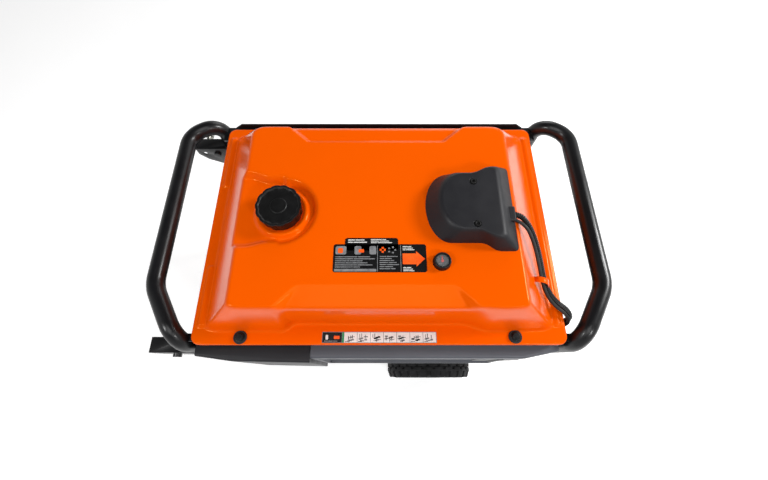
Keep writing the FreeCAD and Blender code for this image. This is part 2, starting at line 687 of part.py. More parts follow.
def twist_lock_outlet():
    """Round locking outlet with three arc slots and one pin slot."""
    body = rod((TWIST_LOCK_X, FACE_Y - 1.5, OUTLET_Z), (0, 1, 0), 21.5, 34)
    slots = []
    for turn in (90, 180, 270, 0):
        slot = box((11, 13.2), (-210, -194), (-5.5, 5.5))
        slot.rotate(Vector(0, 0, 0), Y_AXIS, turn)
        slots.append(moved(slot, (TWIST_LOCK_X, 0, OUTLET_Z)))
    return body.cut(Part.makeCompound(slots))


def flap_neck(x, z, half, low):
    """Joins a flap to its knuckle, clear of the pin."""
    return box((x - half, x + half), (LID_Y - 5, LID_Y), (low, z)).cut(
        rod((x - half - 1, PIN_Y, z), (1, 0, 0), 3, 2 * half + 2)
    )


def duplex_lid(x):
    """Sprung flap, hinged at its top edge."""
    z = OUTLET_Z + 46
    flap = box((x - 24, x + 24), (LID_Y - 5, LID_Y), (OUTLET_Z - 44, OUTLET_Z + 41))
    flap = eased(flap, 2, lambda e: e.BoundBox.YMax < LID_Y - 4.9)
    return fused(flap, knuckle(x, z, 18), flap_neck(x, z, 18, OUTLET_Z + 38))


def twist_lock_lid():
    """Round sprung flap over the locking outlet."""
    x, z = TWIST_LOCK_X, OUTLET_Z + 33
    cap = rod((x, LID_Y - 6, OUTLET_Z), (0, 1, 0), 28, 6)
    cap = eased(cap, 2, lambda e: e.BoundBox.YMax < LID_Y - 5.9)
    return fused(cap, knuckle(x, z, 14), flap_neck(x, z, 14, OUTLET_Z + 20))


def breaker_button(x):
    """Push-to-reset button; it springs out when the breaker trips."""
    button = rod((x, FACE_Y - 7, BREAKER_Z), (0, 1, 0), 5.6, 24)
    return eased(button, 1, lambda e: e.BoundBox.YMax < FACE_Y - 6.9)


def power_dial():
    """Rotary off, run and start switch with a fluted rim and a pointer rib."""
    drum = rod((DIAL.x, -223.5, DIAL.z), (0, 1, 0), 44, 18)
    flutes = [
        rod((DIAL.x + 50 * math.cos(a), -230, DIAL.z + 50 * math.sin(a)), (0, 1, 0), 9, 40)
        for a in (math.radians(30 * i + 15) for i in range(12))
    ]
    rib = box((DIAL.x - 6, DIAL.x + 6), (-225.5, -220), (DIAL.z - 34, DIAL.z + 36))
    spindle = rod((DIAL.x, -206, DIAL.z), (0, 1, 0), 5.8, 30)
    return fused(drum.cut(Part.makeCompound(flutes)), rib, spindle)


save("control_panel", control_panel())
save("side_cover", side_cover())
save("panel_back_box", back_box())
save("duplex_outlets", *[duplex_outlet(x) for x in DUPLEX_X])
save("twist_lock_outlet", twist_lock_outlet())
save("duplex_lid_left", duplex_lid(DUPLEX_X[0]))
save("duplex_lid_right", duplex_lid(DUPLEX_X[1]))
save("twist_lock_lid", twist_lock_lid())
save("breaker_button_left", breaker_button(BREAKER_X[0]))
save("breaker_button_right", breaker_button(BREAKER_X[1]))
save("power_dial", power_dial())


# ---- engine ----
def on_shaft(x, radius, length):
    """A disc or drum centred on the engine's shaft."""
    return rod((x, SHAFT_Y, SHAFT_Z), (1, 0, 0), radius, length)


def along_cylinder(shape):
    """Turns a shape built about +Z so that it lies along the tilted cylinder."""
    turned = shape.copy()
    turned.Placement = Placement(
        Vector(CYLINDER_X, SHAFT_Y, SHAFT_Z), Rotation(X_AXIS, CYLINDER_TILT - 90)
    )
    return turned


def crankcase():
    """Cast case with a foot plate, a cavity for the crank, and bores for the shaft and cylinder."""
    body = box(CASE_X, (-108, 62), (MOUNT_Z, 392))
    body = eased(body, 16, lambda e: runs_along(e, X_AXIS) and e.BoundBox.ZMin > MOUNT_Z + 1)
    foot = box((108, 192), (-110, 110), (MOUNT_Z, MOUNT_Z + 9))
    cavity = box((CASE_X[0] + 12, CASE_X[1] - 12), (-92, 46), (208, 374))
    filler = rod((98, -120, 226), (0, 1, 0), 13, 14)
    bore = on_shaft(40, SHAFT_R + 0.06, 180)
    barrel = along_cylinder(rod((0, 0, 30), (0, 0, 1), CYLINDER_BORE_R, 80))
    oil_hole = rod((98, -125, 226), (0, 1, 0), 8.2, 40)
    return fused(body, foot, filler).cut(cavity).cut(bore).cut(barrel).cut(oil_hole)


def cylinder():
    """Finned barrel and head, with the bore left open inside and an exhaust port on the left."""
    core = rod((0, 0, 50), (0, 0, 1), 52, 132)
    fins = [rounded_plate((-57, 57), (-55, 55), (z, z + 3), 10) for z in range(104, 176, 9)]
    head = rounded_plate((-50, 50), (-44, 44), (150, 188), 8)
    barrel = fused(core, head, *fins).cut(rod((0, 0, 40), (0, 0, 1), CYLINDER_BORE_R, 105))
    port = rod((60, EXHAUST_Y, EXHAUST_Z), (1, 0, 0), 14, CYLINDER_X - 50 - 60)
    return along_cylinder(barrel).cut(box((50, 210), (-200, 62), (180, 392))).cut(port)


def piston():
    """Piston and its pin, near the top of the stroke."""
    body = rod((0, 0, 92), (0, 0, 1), CYLINDER_BORE_R - 0.06, 46).cut(rod((0, 0, 90), (0, 0, 1), 37, 40))
    return along_cylinder(fused(body, rod((-40, 0, 108), (1, 0, 0), 9, 80)))


def valve_cover():
    cover = rounded_plate((-46, 46), (-40, 40), (188, 214), 14)
    cover = eased(cover, 6, lambda e: e.BoundBox.ZMin > 213.9)
    return along_cylinder(cover)


def crankshaft():
    """One-piece crank with two webs and a pin. Its long end carries the alternator's rotor."""
    left = on_shaft(-183, SHAFT_R, 285)
    right = on_shaft(156, SHAFT_R, 90)
    webs = []
    for x in (102, 142):
        webs.append(box((x, x + 14), (SHAFT_Y - 24, SHAFT_Y + 24), (SHAFT_Z - 48, SHAFT_Z + 46)))
    pin = rod((116, SHAFT_Y, SHAFT_Z + 30), (1, 0, 0), 15, 26)
    return fused(left, right, *webs, pin)


def flywheel():
    """Cast flywheel with cooling blades on its outer face."""
    disc = on_shaft(208, 104, 16)
    hub = on_shaft(208, 34, 30)
    blades = []
    for i in range(16):
        blade = box((224, 240), (SHAFT_Y - 1.5, SHAFT_Y + 1.5), (SHAFT_Z + 58, SHAFT_Z + 100))
        blade.rotate(Vector(0, SHAFT_Y, SHAFT_Z), X_AXIS, 22.5 * i)
        blades.append(blade)
    return fused(disc, hub, *blades).cut(on_shaft(190, SHAFT_R, 80))


def rotor():
    """Wound rotor with two poles and a cooling fan at the engine end."""
    core = on_shaft(-118, 70, 136)
    y = (SHAFT_Y - 80, SHAFT_Y + 80)
    flats = [box((-108, 8), y, (z - 8, z + 8)) for z in (SHAFT_Z - 66, SHAFT_Z + 66)]
    poles = core.cut(Part.makeCompound(flats))
    return fused(poles, on_shaft(32, 88, 5), on_shaft(18, 30, 14)).cut(on_shaft(-190, SHAFT_R, 300))


def stator():
    """Alternator body: laminated stator, ribbed shell and the adaptor that bolts to the crankcase."""
    barrel = on_shaft(-124, STATOR_R, 186)
    ribs = []
    for i in range(24):
        rib = box((-118, 20), (SHAFT_Y - 2, SHAFT_Y + 2), (SHAFT_Z + STATOR_R - 3, SHAFT_Z + STATOR_R + 3))
        rib.rotate(Vector(0, SHAFT_Y, SHAFT_Z), X_AXIS, 15 * i)
        ribs.append(rib)
    foot = box((-118, -62), (-108, 108), (MOUNT_Z, MOUNT_Z + 8))
    block = box((-112, -68), (-70, 40), (MOUNT_Z, MOUNT_Z + 30))
    body = fused(barrel, *ribs, foot, block)
    return body.cut(on_shaft(-130, STATOR_BORE_R, 156)).cut(on_shaft(26, 95, 40))


def alternator_cover():
    """End bell with cooling slots and the rear bearing's seat."""
    bell = eased(on_shaft(-184, STATOR_R, 60), 10, lambda e: e.BoundBox.XMax < -183)
    slots = []
    for i in range(12):
        slot = box((-190, -170), (SHAFT_Y - 3.5, SHAFT_Y + 3.5), (SHAFT_Z + 46, SHAFT_Z + 88))
        slot.rotate(Vector(0, SHAFT_Y, SHAFT_Z), X_AXIS, 30 * i + 15)
        slots.append(slot)
    cavity = on_shaft(-178, STATOR_R - 6, 54)
    bearing = ring((-178, SHAFT_Y, SHAFT_Z), (1, 0, 0), 30, SHAFT_R + 0.06, 20)
    bell = bell.cut(cavity).cut(Part.makeCompound(slots)).cut(on_shaft(-184, SHAFT_R + 0.06, 10))
    closed_end = on_shaft(-190, 24, 6)
    return fused(bell, bearing, closed_end)


def shroud_outline(x, radius, inset):
    """Fan housing outline: round about the shaft, with a duct towards the cylinder."""
    circle = on_shaft(x[0], radius, x[1] - x[0])
    duct_y = (SHAFT_Y - 20, SHAFT_Y + 168 - inset)
    duct = box(x, duct_y, (SHAFT_Z - 40 + inset, SHAFT_Z + 60 - inset))
    duct.rotate(Vector(0, SHAFT_Y, SHAFT_Z), X_AXIS, CYLINDER_TILT)
    return fused(circle, duct)


def fan_shroud():
    """Sheet housing round the flywheel that ducts air over the cylinder."""
    shell = shroud_outline((202, 262), 124, 0).cut(shroud_outline((204, 260), 122, 2))
    back_opening = on_shaft(200, 110, 6)
    return shell.cut(back_opening).cut(on_shaft(255, 80, 10))


def recoil_cover():
    """Round starter cover with slots and the rope's exit bush."""
    dome = eased(on_shaft(262, 92, 34), 12, lambda e: e.BoundBox.XMin > 295.9)
    dome = dome.cut(on_shaft(261, 88, 31))
    slots = []
    for i in range(18):
        slot = box((285, 300), (SHAFT_Y - 3, SHAFT_Y + 3), (SHAFT_Z + 36, SHAFT_Z + 70))
        slot.rotate(Vector(0, SHAFT_Y, SHAFT_Z), X_AXIS, 20 * i)
        slots.append(slot)
    bush = ring((278, -110, 286), (0, 1, 0), 9, 4, 9)
    return fused(dome.cut(Part.makeCompound(slots)), bush).cut(rod((278, -115, 286), (0, 1, 0), 4, 24))


def recoil_grip():
    """T-shaped pull handle that rests against the starter's rope bush."""
    bar = eased(rod((278, -130, 252), (0, 0, 1), 9, 68), 4, lambda e: True)
    return fused(bar, rod((278, -128, 286), (0, 1, 0), 7, 17.5))


def air_cleaner():
    """Air cleaner box with a ribbed cover, on a neck above the crankcase."""
    body = eased(rounded_plate((88, 200), (-46, 70), (416, 488), 16), 8, lambda e: e.BoundBox.ZMin > 487.9)
    seam = rounded_plate((86, 202), (-48, 72), (446, 450), 18)
    neck = box((122, 158), (-34, 12), (392, 418))
    return fused(body, seam, neck)


MUFFLER_Z = (390.0, 480.0)
OUTLET = Vector(-150, 0, 434)


def muffler_form(inset):
    x, y = (-196 + inset, 36 - inset), (78 + inset, 184 - inset)
    z = (MUFFLER_Z[0] + inset, MUFFLER_Z[1] - inset)
    can = eased(box(x, y, z), 30 - inset, lambda e: runs_along(e, X_AXIS))
    return eased(can, 6 - inset, lambda e: abs(e.CenterOfMass.x + 80) > 100)


def muffler():
    """Hollow silencer with an inlet pipe from the head and an outlet that points to the back."""
    outlet = rod((OUTLET.x, 183, OUTLET.z), (0, 1, 0), 13.5, 31)
    inlet = rod((35, EXHAUST_Y, EXHAUST_Z), (1, 0, 0), 13, CYLINDER_X - 50 - 35)
    outlet_bore = rod((OUTLET.x, 170, OUTLET.z), (0, 1, 0), 11, 60)
    inlet_bore = rod((20, EXHAUST_Y, EXHAUST_Z), (1, 0, 0), 11, 70)
    return fused(muffler_form(0), outlet, inlet).cut(muffler_form(2)).cut(outlet_bore).cut(inlet_bore)


def muffler_guard():
    """Slotted heat guard behind the muffler, on two straps."""
    z = (MUFFLER_Z[0] - 6, MUFFLER_Z[1] + 4)
    sheet = box((-204, 44), (190, 192), z)
    ends = [box(x, (150, 192), z) for x in ((-206, -204), (44, 46))]
    columns = [-190 + 26 * i for i in range(9) if i not in (1, 2)]
    slots = [box((x, x + 14), (188, 194), (low, low + 30)) for x in columns for low in (396, 442)]
    hole = rod((OUTLET.x, 185, OUTLET.z), (0, 1, 0), 20, 12)
    straps = [box((x, x + 14), (184, 190), (428, 440)) for x in (-90, -10)]
    return fused(sheet, *ends, *straps).cut(Part.makeCompound(slots + [hole]))


def starter_motor():
    """Electric starter above the crankcase, with its solenoid on top."""
    body = rod((92, -88, 428), (1, 0, 0), 29, 104)
    nose = rod((196, -88, 428), (1, 0, 0), 22, 6)
    bracket = box((186, 194), (-104, -72), (392, 412))
    solenoid = rod((110, -112, 462), (1, 0, 0), 13, 62)
    saddle = box((120, 160), (-112, -96), (440, 460))
    return fused(body, nose, bracket, solenoid, saddle)


def oil_cap():
    """Filler cap with a dipstick and a finger rib."""
    stem = rod((98, -121, 226), (0, 1, 0), 8.0, 22)
    head = rod((98, -129, 226), (0, 1, 0), 15, 8.9)
    return fused(stem, head, box((85, 111), (-137, -129), (223, 229)))


def battery():
    """Starting battery on the left cross member, with two terminal posts."""
    body = eased(box((-266, -206), (-70, 80), (DECK_Z, 300)), 4, lambda e: runs_along(e, Z_AXIS))
    posts = [box((-246, -230), (y - 8, y + 8), (300, 312)) for y in (-50, 60)]
    return fused(body, *posts)


save("crankcase", crankcase())
save("cylinder", cylinder())
save("piston", piston())
save("valve_cover", valve_cover())
save("crankshaft", crankshaft())
save("flywheel", flywheel())
save("rotor", rotor())
save("stator", stator())
save("alternator_cover", alternator_cover())
save("fan_shroud", fan_shroud())
save("recoil_cover", recoil_cover())
save("recoil_grip", recoil_grip())
save("air_cleaner", air_cleaner())
save("muffler", muffler())
save("muffler_guard", muffler_guard())
save("starter_motor", starter_motor())
save("oil_cap", oil_cap())
save("battery", battery())
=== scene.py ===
"""Looks of the portable generator: pressed tank, moulded covers, powder-coated tubes, tyres, engine."""
import json
import math
from contextlib import contextmanager

import bmesh
import bpy
import numpy as np
from mathutils import Matrix, Vector

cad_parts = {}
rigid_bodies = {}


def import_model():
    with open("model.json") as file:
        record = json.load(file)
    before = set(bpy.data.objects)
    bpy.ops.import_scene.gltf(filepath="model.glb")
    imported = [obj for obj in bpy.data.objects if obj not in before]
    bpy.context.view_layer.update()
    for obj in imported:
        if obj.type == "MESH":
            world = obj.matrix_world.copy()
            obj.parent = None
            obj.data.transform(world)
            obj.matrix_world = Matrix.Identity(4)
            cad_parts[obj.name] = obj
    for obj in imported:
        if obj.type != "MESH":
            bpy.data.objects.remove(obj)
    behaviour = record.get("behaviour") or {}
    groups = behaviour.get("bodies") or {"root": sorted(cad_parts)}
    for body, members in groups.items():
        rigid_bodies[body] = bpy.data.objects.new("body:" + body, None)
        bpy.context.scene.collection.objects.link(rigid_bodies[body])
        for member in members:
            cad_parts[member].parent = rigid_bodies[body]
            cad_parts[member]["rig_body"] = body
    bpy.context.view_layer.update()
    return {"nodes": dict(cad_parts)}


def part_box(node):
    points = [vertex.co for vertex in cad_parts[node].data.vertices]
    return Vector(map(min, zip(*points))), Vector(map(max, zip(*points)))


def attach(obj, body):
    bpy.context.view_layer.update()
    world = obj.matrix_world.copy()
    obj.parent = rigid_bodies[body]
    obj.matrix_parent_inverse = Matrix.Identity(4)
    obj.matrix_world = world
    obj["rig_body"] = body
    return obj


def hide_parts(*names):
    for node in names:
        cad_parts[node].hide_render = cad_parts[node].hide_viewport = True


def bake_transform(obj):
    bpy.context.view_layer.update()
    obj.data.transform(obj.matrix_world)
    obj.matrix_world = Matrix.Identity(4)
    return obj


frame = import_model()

bl_info = {
    "name": "Portable generator",
    "version": (1, 0, 0),
    "blender": (4, 5, 0),
    "location": "3D View > Sidebar > Generator",
    "description": "Builds the finished pieces of a portable generator around its CAD frame",
    "category": "Add Mesh",
}

MM = 0.001
Y, Z = Vector((0, 1, 0)), Vector((0, 0, 1))


# ---- sizes and colours a user may change ----
class GeneratorSizes(bpy.types.PropertyGroup):
    cap_lobes: bpy.props.IntProperty(
        name="Cap lobes", description="Lobes round the fuel cap's grip", default=14, min=6
    )
    cap_lobe_depth: bpy.props.FloatProperty(
        name="Cap lobe depth", description="Depth of the cap's flutes", default=1.6 * MM, unit="LENGTH"
    )
    tread_blocks: bpy.props.IntProperty(
        name="Tread blocks", description="Blocks in one row of the tyre's tread", default=26, min=8
    )
    tread_depth: bpy.props.FloatProperty(
        name="Tread depth", description="Height of the tyre's tread blocks", default=5 * MM, unit="LENGTH"
    )
    conduit_pitch: bpy.props.FloatProperty(
        name="Conduit pitch", description="Spacing of the conduit's ribs", default=3.2 * MM, unit="LENGTH"
    )
    camera_lens: bpy.props.FloatProperty(
        name="Lens", description="Focal length of the camera on a 36 mm sensor", default=16.3, unit="CAMERA"
    )


def colour_property(label, words, code):
    return bpy.props.FloatVectorProperty(
        name=label, description=words, default=linear(code), size=4, min=0, max=1, subtype="COLOR"
    )


def linear(code):
    """sRGB hex to linear RGBA."""
    values = [int(code[i : i + 2], 16) / 255 for i in (1, 3, 5)]
    return tuple(v / 12.92 if v <= 0.04045 else ((v + 0.055) / 1.055) ** 2.4 for v in values) + (1.0,)


class GeneratorColours(bpy.types.PropertyGroup):
    enamel: colour_property("Tank enamel", "Colour of the fuel tank's enamel", "#F15A00")
    tube: colour_property("Tube", "Colour of the frame's powder coat", "#08080A")
    panel: colour_property("Panel", "Colour of the control panel's moulding", "#53555C")
    cover: colour_property("Cover", "Colour of the dark moulded covers", "#1B1B1F")


# ---- materials ----
def add_node(tree, kind, links=None, **settings):
    """Adds a node, sets its properties and inputs, and links the named inputs to other sockets."""
    node = tree.nodes.new(kind)
    for key, value in settings.items():
        if hasattr(node, key):
            setattr(node, key, value)
        else:
            node.inputs[key.replace("_", " ")].default_value = value
    for key, socket in (links or {}).items():
        tree.links.new(socket, node.inputs[key])
    return node


def finish(
    name, dark, light, patch=60.0, rough=(0.4, 0.5), grain=0.6, relief=0.05, metallic=0.0,
    coat=0.0, coat_rough=0.08, speck=None, stretch=None, cell=False, shine=0.5, tint="#FFFFFF",
):
    """A material with drifting colour, uneven gloss and a surface grain.

    patch and grain are feature sizes in millimetres, relief is the grain's height in millimetres. speck is
    (hex, size, share) for dust or flecks, and stretch lengthens the grain along one axis.
    """
    mat = bpy.data.materials.new(name)
    mat.use_nodes = True
    tree = mat.node_tree
    tree.nodes.clear()
    out = add_node(tree, "ShaderNodeOutputMaterial")
    shader = add_node(
        tree, "ShaderNodeBsdfPrincipled", Metallic=metallic, Coat_Weight=coat, Coat_Roughness=coat_rough,
        Specular_IOR_Level=shine, Specular_Tint=linear(tint),
    )
    tree.links.new(shader.outputs[0], out.inputs["Surface"])
    place = add_node(tree, "ShaderNodeTexCoord").outputs["Object"]
    drift = add_node(
        tree, "ShaderNodeTexNoise", {"Vector": place}, Scale=1000 / patch, Detail=3.0, Roughness=0.55
    )
    ramp = add_node(tree, "ShaderNodeValToRGB", {"Fac": drift.outputs[0]})
    for stop, position, tone in zip(ramp.color_ramp.elements, (0.32, 0.68), (dark, light)):
        stop.position = position
        stop.color = tone if isinstance(tone, tuple) else linear(tone)
    colour = ramp.outputs[0]
    if speck:
        code, size, share = speck
        dust = add_node(
            tree, "ShaderNodeTexNoise", {"Vector": place}, Scale=1000 / size, Detail=5.0, Roughness=0.7
        )
        edge = add_node(
            tree, "ShaderNodeMapRange", {"Value": dust.outputs[0]}, clamp=True,
            From_Min=0.72 - share, From_Max=0.9 - share,
        )
        mix = add_node(tree, "ShaderNodeMix", {"Factor": edge.outputs[0]}, data_type="RGBA")
        clean, dusty = (socket for socket in mix.inputs if socket.type == "RGBA")
        tree.links.new(colour, clean)
        dusty.default_value = linear(code)
        colour = next(socket for socket in mix.outputs if socket.type == "RGBA")
    tree.links.new(colour, shader.inputs["Base Color"])
    gloss = add_node(tree, "ShaderNodeTexNoise", {"Vector": place}, Scale=1000 / (patch * 0.35), Detail=4.0)
    spread = add_node(
        tree, "ShaderNodeMapRange", {"Value": gloss.outputs[0]},
        From_Min=0.3, From_Max=0.7, To_Min=rough[0], To_Max=rough[1],
    )
    tree.links.new(spread.outputs[0], shader.inputs["Roughness"])
    where = place
    if stretch:
        where = add_node(tree, "ShaderNodeMapping", {"Vector": place}, Scale=stretch).outputs[0]
    if cell:
        bumps = add_node(tree, "ShaderNodeTexVoronoi", {"Vector": where}, Scale=1000 / grain)
        bumps = bumps.outputs["Distance"]
    else:
        bumps = add_node(
            tree, "ShaderNodeTexNoise", {"Vector": where}, Scale=1000 / grain, Detail=2.0, Roughness=0.5
        ).outputs[0]
    bump = add_node(tree, "ShaderNodeBump", {"Height": bumps}, Strength=1.0, Distance=relief * MM)
    tree.links.new(bump.outputs[0], shader.inputs["Normal"])
    return mat


def shade(colour, factor):
    """The same colour, darker or lighter."""
    return tuple(min(1.0, c * factor) for c in colour[:3]) + (1.0,)


MATS = {}


def make_materials(colours):
    enamel, tube = tuple(colours.enamel), tuple(colours.tube)
    panel, cover = tuple(colours.panel), tuple(colours.cover)
    MATS.update(
        # Baked enamel on pressed steel: even colour under a gloss that the pigment warms, with an
        # orange peel 2 mm across.
        enamel=finish(
            "baked_enamel_on_pressed_steel", shade(enamel, 0.97), enamel, 140, (0.15, 0.2), 2.4, 0.006,
            shine=0.28, tint="#FFB457",
        ),
        # Powder coat on steel tube: near black and half glossy, with a finer, deeper peel than enamel.
        tube=finish(
            "gloss_powder_coat_on_steel_tube", tube, shade(tube, 1.8), 90, (0.3, 0.4), 1.6, 0.014,
            coat=0.12, coat_rough=0.16, shine=0.4,
        ),
        # Satin powder coat on folded sheet: the same paint, thinner and duller.
        sheet=finish(
            "satin_powder_coat_on_folded_sheet", "#111113", "#1B1B1E", 70, (0.42, 0.55), 1.1, 0.02
        ),
        # Moulded ABS with a spark-eroded texture: a fine even grain that kills the gloss.
        cover=finish(
            "spark_textured_ABS_charcoal", shade(cover, 0.88), shade(cover, 1.1), 80, (0.40, 0.52), 0.9, 0.03,
            shine=0.35,
        ),
        panel=finish(
            "spark_textured_ABS_grey", shade(panel, 0.92), shade(panel, 1.06), 90, (0.38, 0.48), 0.9, 0.03,
            shine=0.4,
        ),
        # Injection-moulded nylon, black: slightly waxy, almost even.
        nylon=finish("moulded_nylon_black", "#050505", "#0A0A0B", 40, (0.38, 0.5), 0.8, 0.03, shine=0.3),
        # Vulcanised tyre rubber: matt charcoal with a dry bloom in the hollows.
        tyre=finish(
            "vulcanised_tyre_rubber", "#111112", "#1D1D1F", 35, (0.68, 0.85), 1.2, 0.08,
            speck=("#3A3835", 9, 0.06), shine=0.35,
        ),
        # Hub moulded in polypropylene, greyer and softer in its gloss than nylon.
        rim=finish("moulded_polypropylene_hub", "#161618", "#222225", 50, (0.4, 0.52), 1.0, 0.04),
        # Moulded rubber of grip, feet and isolators.
        rubber=finish("moulded_rubber_black", "#101011", "#1C1C1D", 25, (0.6, 0.78), 0.8, 0.05),
        # Zinc plate on steel: bluish grey with a faint yellow drift.
        zinc=finish("zinc_plated_steel", "#8D8F8C", "#B4B3AA", 12, (0.28, 0.42), 0.7, 0.02, metallic=1.0),
        # Black oxide on steel screws.
        oxide=finish("black_oxide_on_steel", "#141414", "#262626", 8, (0.35, 0.5), 0.6, 0.02, metallic=0.6),
        # Sand-cast aluminium: pebbled skin and grey dust in the pores.
        cast=finish(
            "sand_cast_aluminium", "#989997", "#AEAEAB", 40, (0.46, 0.58), 1.6, 0.07, metallic=1.0,
            speck=("#7C7C79", 5, 0.06),
        ),
        # Turned steel: fine rings left by the tool, along the shaft.
        turned=finish(
            "turned_steel", "#8E9093", "#B9BABC", 20, (0.22, 0.34), 0.8, 0.03, metallic=1.0, stretch=(9, 1, 1)
        ),
        # Machined cast iron: a darker grey, with open grain.
        iron=finish(
            "cast_iron_machined_face", "#4C4C4E", "#6A6A6B", 18, (0.45, 0.6), 1.2, 0.08, metallic=1.0
        ),
        # Aluminised silencer shell: dull silver with brown heat bloom.
        hot=finish(
            "aluminised_steel_heat_stained", "#77756F", "#A5A29B", 45, (0.45, 0.62), 1.0, 0.04, metallic=1.0,
            speck=("#6B5134", 38, 0.16),
        ),
        # Corrugated split conduit: extruded polyethylene, slightly shiny on its ribs.
        conduit=finish("extruded_polyethylene_conduit", "#0D0D0E", "#191919", 14, (0.34, 0.46), 0.7, 0.02),
        hose=finish("nitrile_fuel_hose", "#121212", "#1D1D1C", 12, (0.5, 0.66), 0.8, 0.04),
        # Printed film labels and dial, under a clear laminate.
        film_black=finish("printed_film_black", "#0B0B0C", "#141415", 20, (0.22, 0.3), 1.5, 0.004),
        film_white=finish("printed_film_white", "#D9D9D6", "#ECECE9", 20, (0.24, 0.32), 1.5, 0.004),
        film_grey=finish("printed_film_grey", "#6E6F71", "#8C8D8F", 6, (0.24, 0.32), 1.5, 0.004),
        film_orange=finish("printed_film_orange", "#F04E12", "#FF6A1F", 20, (0.22, 0.3), 1.5, 0.004),
        film_green=finish("printed_film_green", "#1E7F4A", "#2A9A5B", 20, (0.22, 0.3), 1.5, 0.004),
        dial_face=finish("printed_gauge_dial", "#3C3D40", "#55575A", 10, (0.35, 0.45), 0.8, 0.01),
        # Small moulded pieces: acetal has an even, soapy gloss, and nylon is a little duller.
        red=finish("moulded_acetal_red", "#A81C12", "#C92A1C", 15, (0.3, 0.4), 0.6, 0.01),
        yellow=finish("moulded_nylon_yellow", "#C99A12", "#E0B322", 20, (0.35, 0.48), 0.7, 0.02),
        pale=finish("moulded_acetal_natural", "#BDBBB0", "#D6D4CA", 30, (0.4, 0.5), 0.8, 0.02),
        # Closed-cell foam, with its fine cut cells.
        float_foam=finish("closed_cell_nitrile_float", "#191919", "#272726", 9, (0.7, 0.85), 0.9, 0.08),
        starter=finish("satin_enamel_on_steel_shell", "#1A1A1C", "#28282B", 30, (0.36, 0.48), 1.2, 0.02),
        # Stacked core plates: the edges of the laminations show as lines across the shaft.
        core=finish("laminated_core_steel", "#4F4F50", "#6A6A6B", 14, (0.4, 0.55), 0.7, 0.06, metallic=0.9,
                    stretch=(12, 1, 1)),
        # Braided cord: light flecks where the strands cross.
        rope=finish("braided_nylon_cord", "#1A1A1B", "#5B5B5A", 2, (0.7, 0.85), 1.0, 0.25, cell=True),
    )
    lens = bpy.data.materials.new("moulded_acrylic_lens")  # clear dome over the gauge, hardly tinted
    lens.use_nodes = True
    shader = lens.node_tree.nodes["Principled BSDF"]
    for socket, value in (("IOR", 1.49), ("Base Color", linear("#E9EDEE")), ("Alpha", 0.06)):
        shader.inputs[socket].default_value = value
    tree = lens.node_tree
    place = add_node(tree, "ShaderNodeTexCoord").outputs["Object"]
    haze = add_node(tree, "ShaderNodeTexNoise", {"Vector": place}, Scale=1000 / 4, Detail=3.0)
    spread = add_node(tree, "ShaderNodeMapRange", {"Value": haze.outputs[0]}, To_Min=0.01, To_Max=0.08)
    tree.links.new(spread.outputs[0], shader.inputs["Roughness"])
    MATS["lens"] = lens


# ---- modelling helpers ----
def deselect():
    bpy.ops.object.select_all(action="DESELECT")


def pick(obj, *others):
    deselect()
    for each in (obj, *others):
        each.select_set(True)
    bpy.context.view_layer.objects.active = obj


def placed(name, data):
    """A new object in the scene for some data."""
    obj = bpy.data.objects.new(name, data)
    bpy.context.scene.collection.objects.link(obj)
    return obj


@contextmanager
def editing(obj):
    """Edit mode on one object, with nothing else selected."""
    pick(obj)
    bpy.ops.object.mode_set(mode="EDIT")
    yield
    bpy.ops.object.mode_set(mode="OBJECT")


def settle(obj):
    pick(obj)
    bpy.ops.object.transform_apply(location=True, rotation=True, scale=True)


def modify(obj, kind, **settings):
    pick(obj)
    modifier = obj.modifiers.new(kind.title(), kind)
    for key, value in settings.items():
        setattr(modifier, key, value)
    bpy.ops.object.modifier_apply(modifier=modifier.name)


def ease(obj, width, segments=2, angle=35):
    """Rounds the edges that are sharper than the angle."""
    modify(
        obj, "BEVEL", width=width, segments=segments, limit_method="ANGLE", angle_limit=math.radians(angle),
        use_clamp_overlap=True, harden_normals=False,
    )


def joined(pieces):
    if len(pieces) > 1:
        pick(*pieces)
        bpy.ops.object.join()
    return pieces[0]


def hand_over(obj, name, body, material, nodes=(), angle=32):
    """Names a piece, gives it its finish and hangs it on its body."""
    settle(obj)
    obj.name = obj.data.name = name
    if material:
        obj.data.materials.clear()
        obj.data.materials.append(MATS[material])
    pick(obj)
    bpy.ops.object.shade_smooth_by_angle(angle=math.radians(angle))
    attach(obj, body)
    if nodes:
        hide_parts(*nodes)
    deselect()
    return obj


def copy_of(node):
    """A merged copy of a CAD node's mesh, with its flat faces made whole again."""
    mesh = frame["nodes"][node].data.copy()
    obj = placed(node + "_copy", mesh)
    with editing(obj):
        bpy.ops.mesh.select_all(action="SELECT")
        bpy.ops.mesh.remove_doubles(threshold=0.01 * MM)
        bpy.ops.mesh.dissolve_limited(angle_limit=math.radians(0.6))
    mesh.materials.clear()
    return obj


def body_of(node):
    return frame["nodes"][node]["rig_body"]


def dress(node, material, edge=0.8, segments=2, angle=32):
    """Finishes a CAD node: eased edges, smooth curves and its own material."""
    obj = copy_of(node)
    if edge:
        ease(obj, edge * MM, segments)
    return hand_over(obj, node + "_finished", body_of(node), material, [node], angle)


def cylinder(centre, direction, radius, length, sides=32):
    turn = Vector(direction).to_track_quat("Z", "Y").to_euler()
    bpy.ops.mesh.primitive_cylinder_add(
        vertices=sides, radius=radius, depth=length, location=centre, rotation=turn
    )
    obj = bpy.context.object
    settle(obj)
    return obj


def block(centre, size):
    bpy.ops.mesh.primitive_cube_add(size=1, location=centre)
    obj = bpy.context.object
    obj.scale = size
    settle(obj)
    return obj


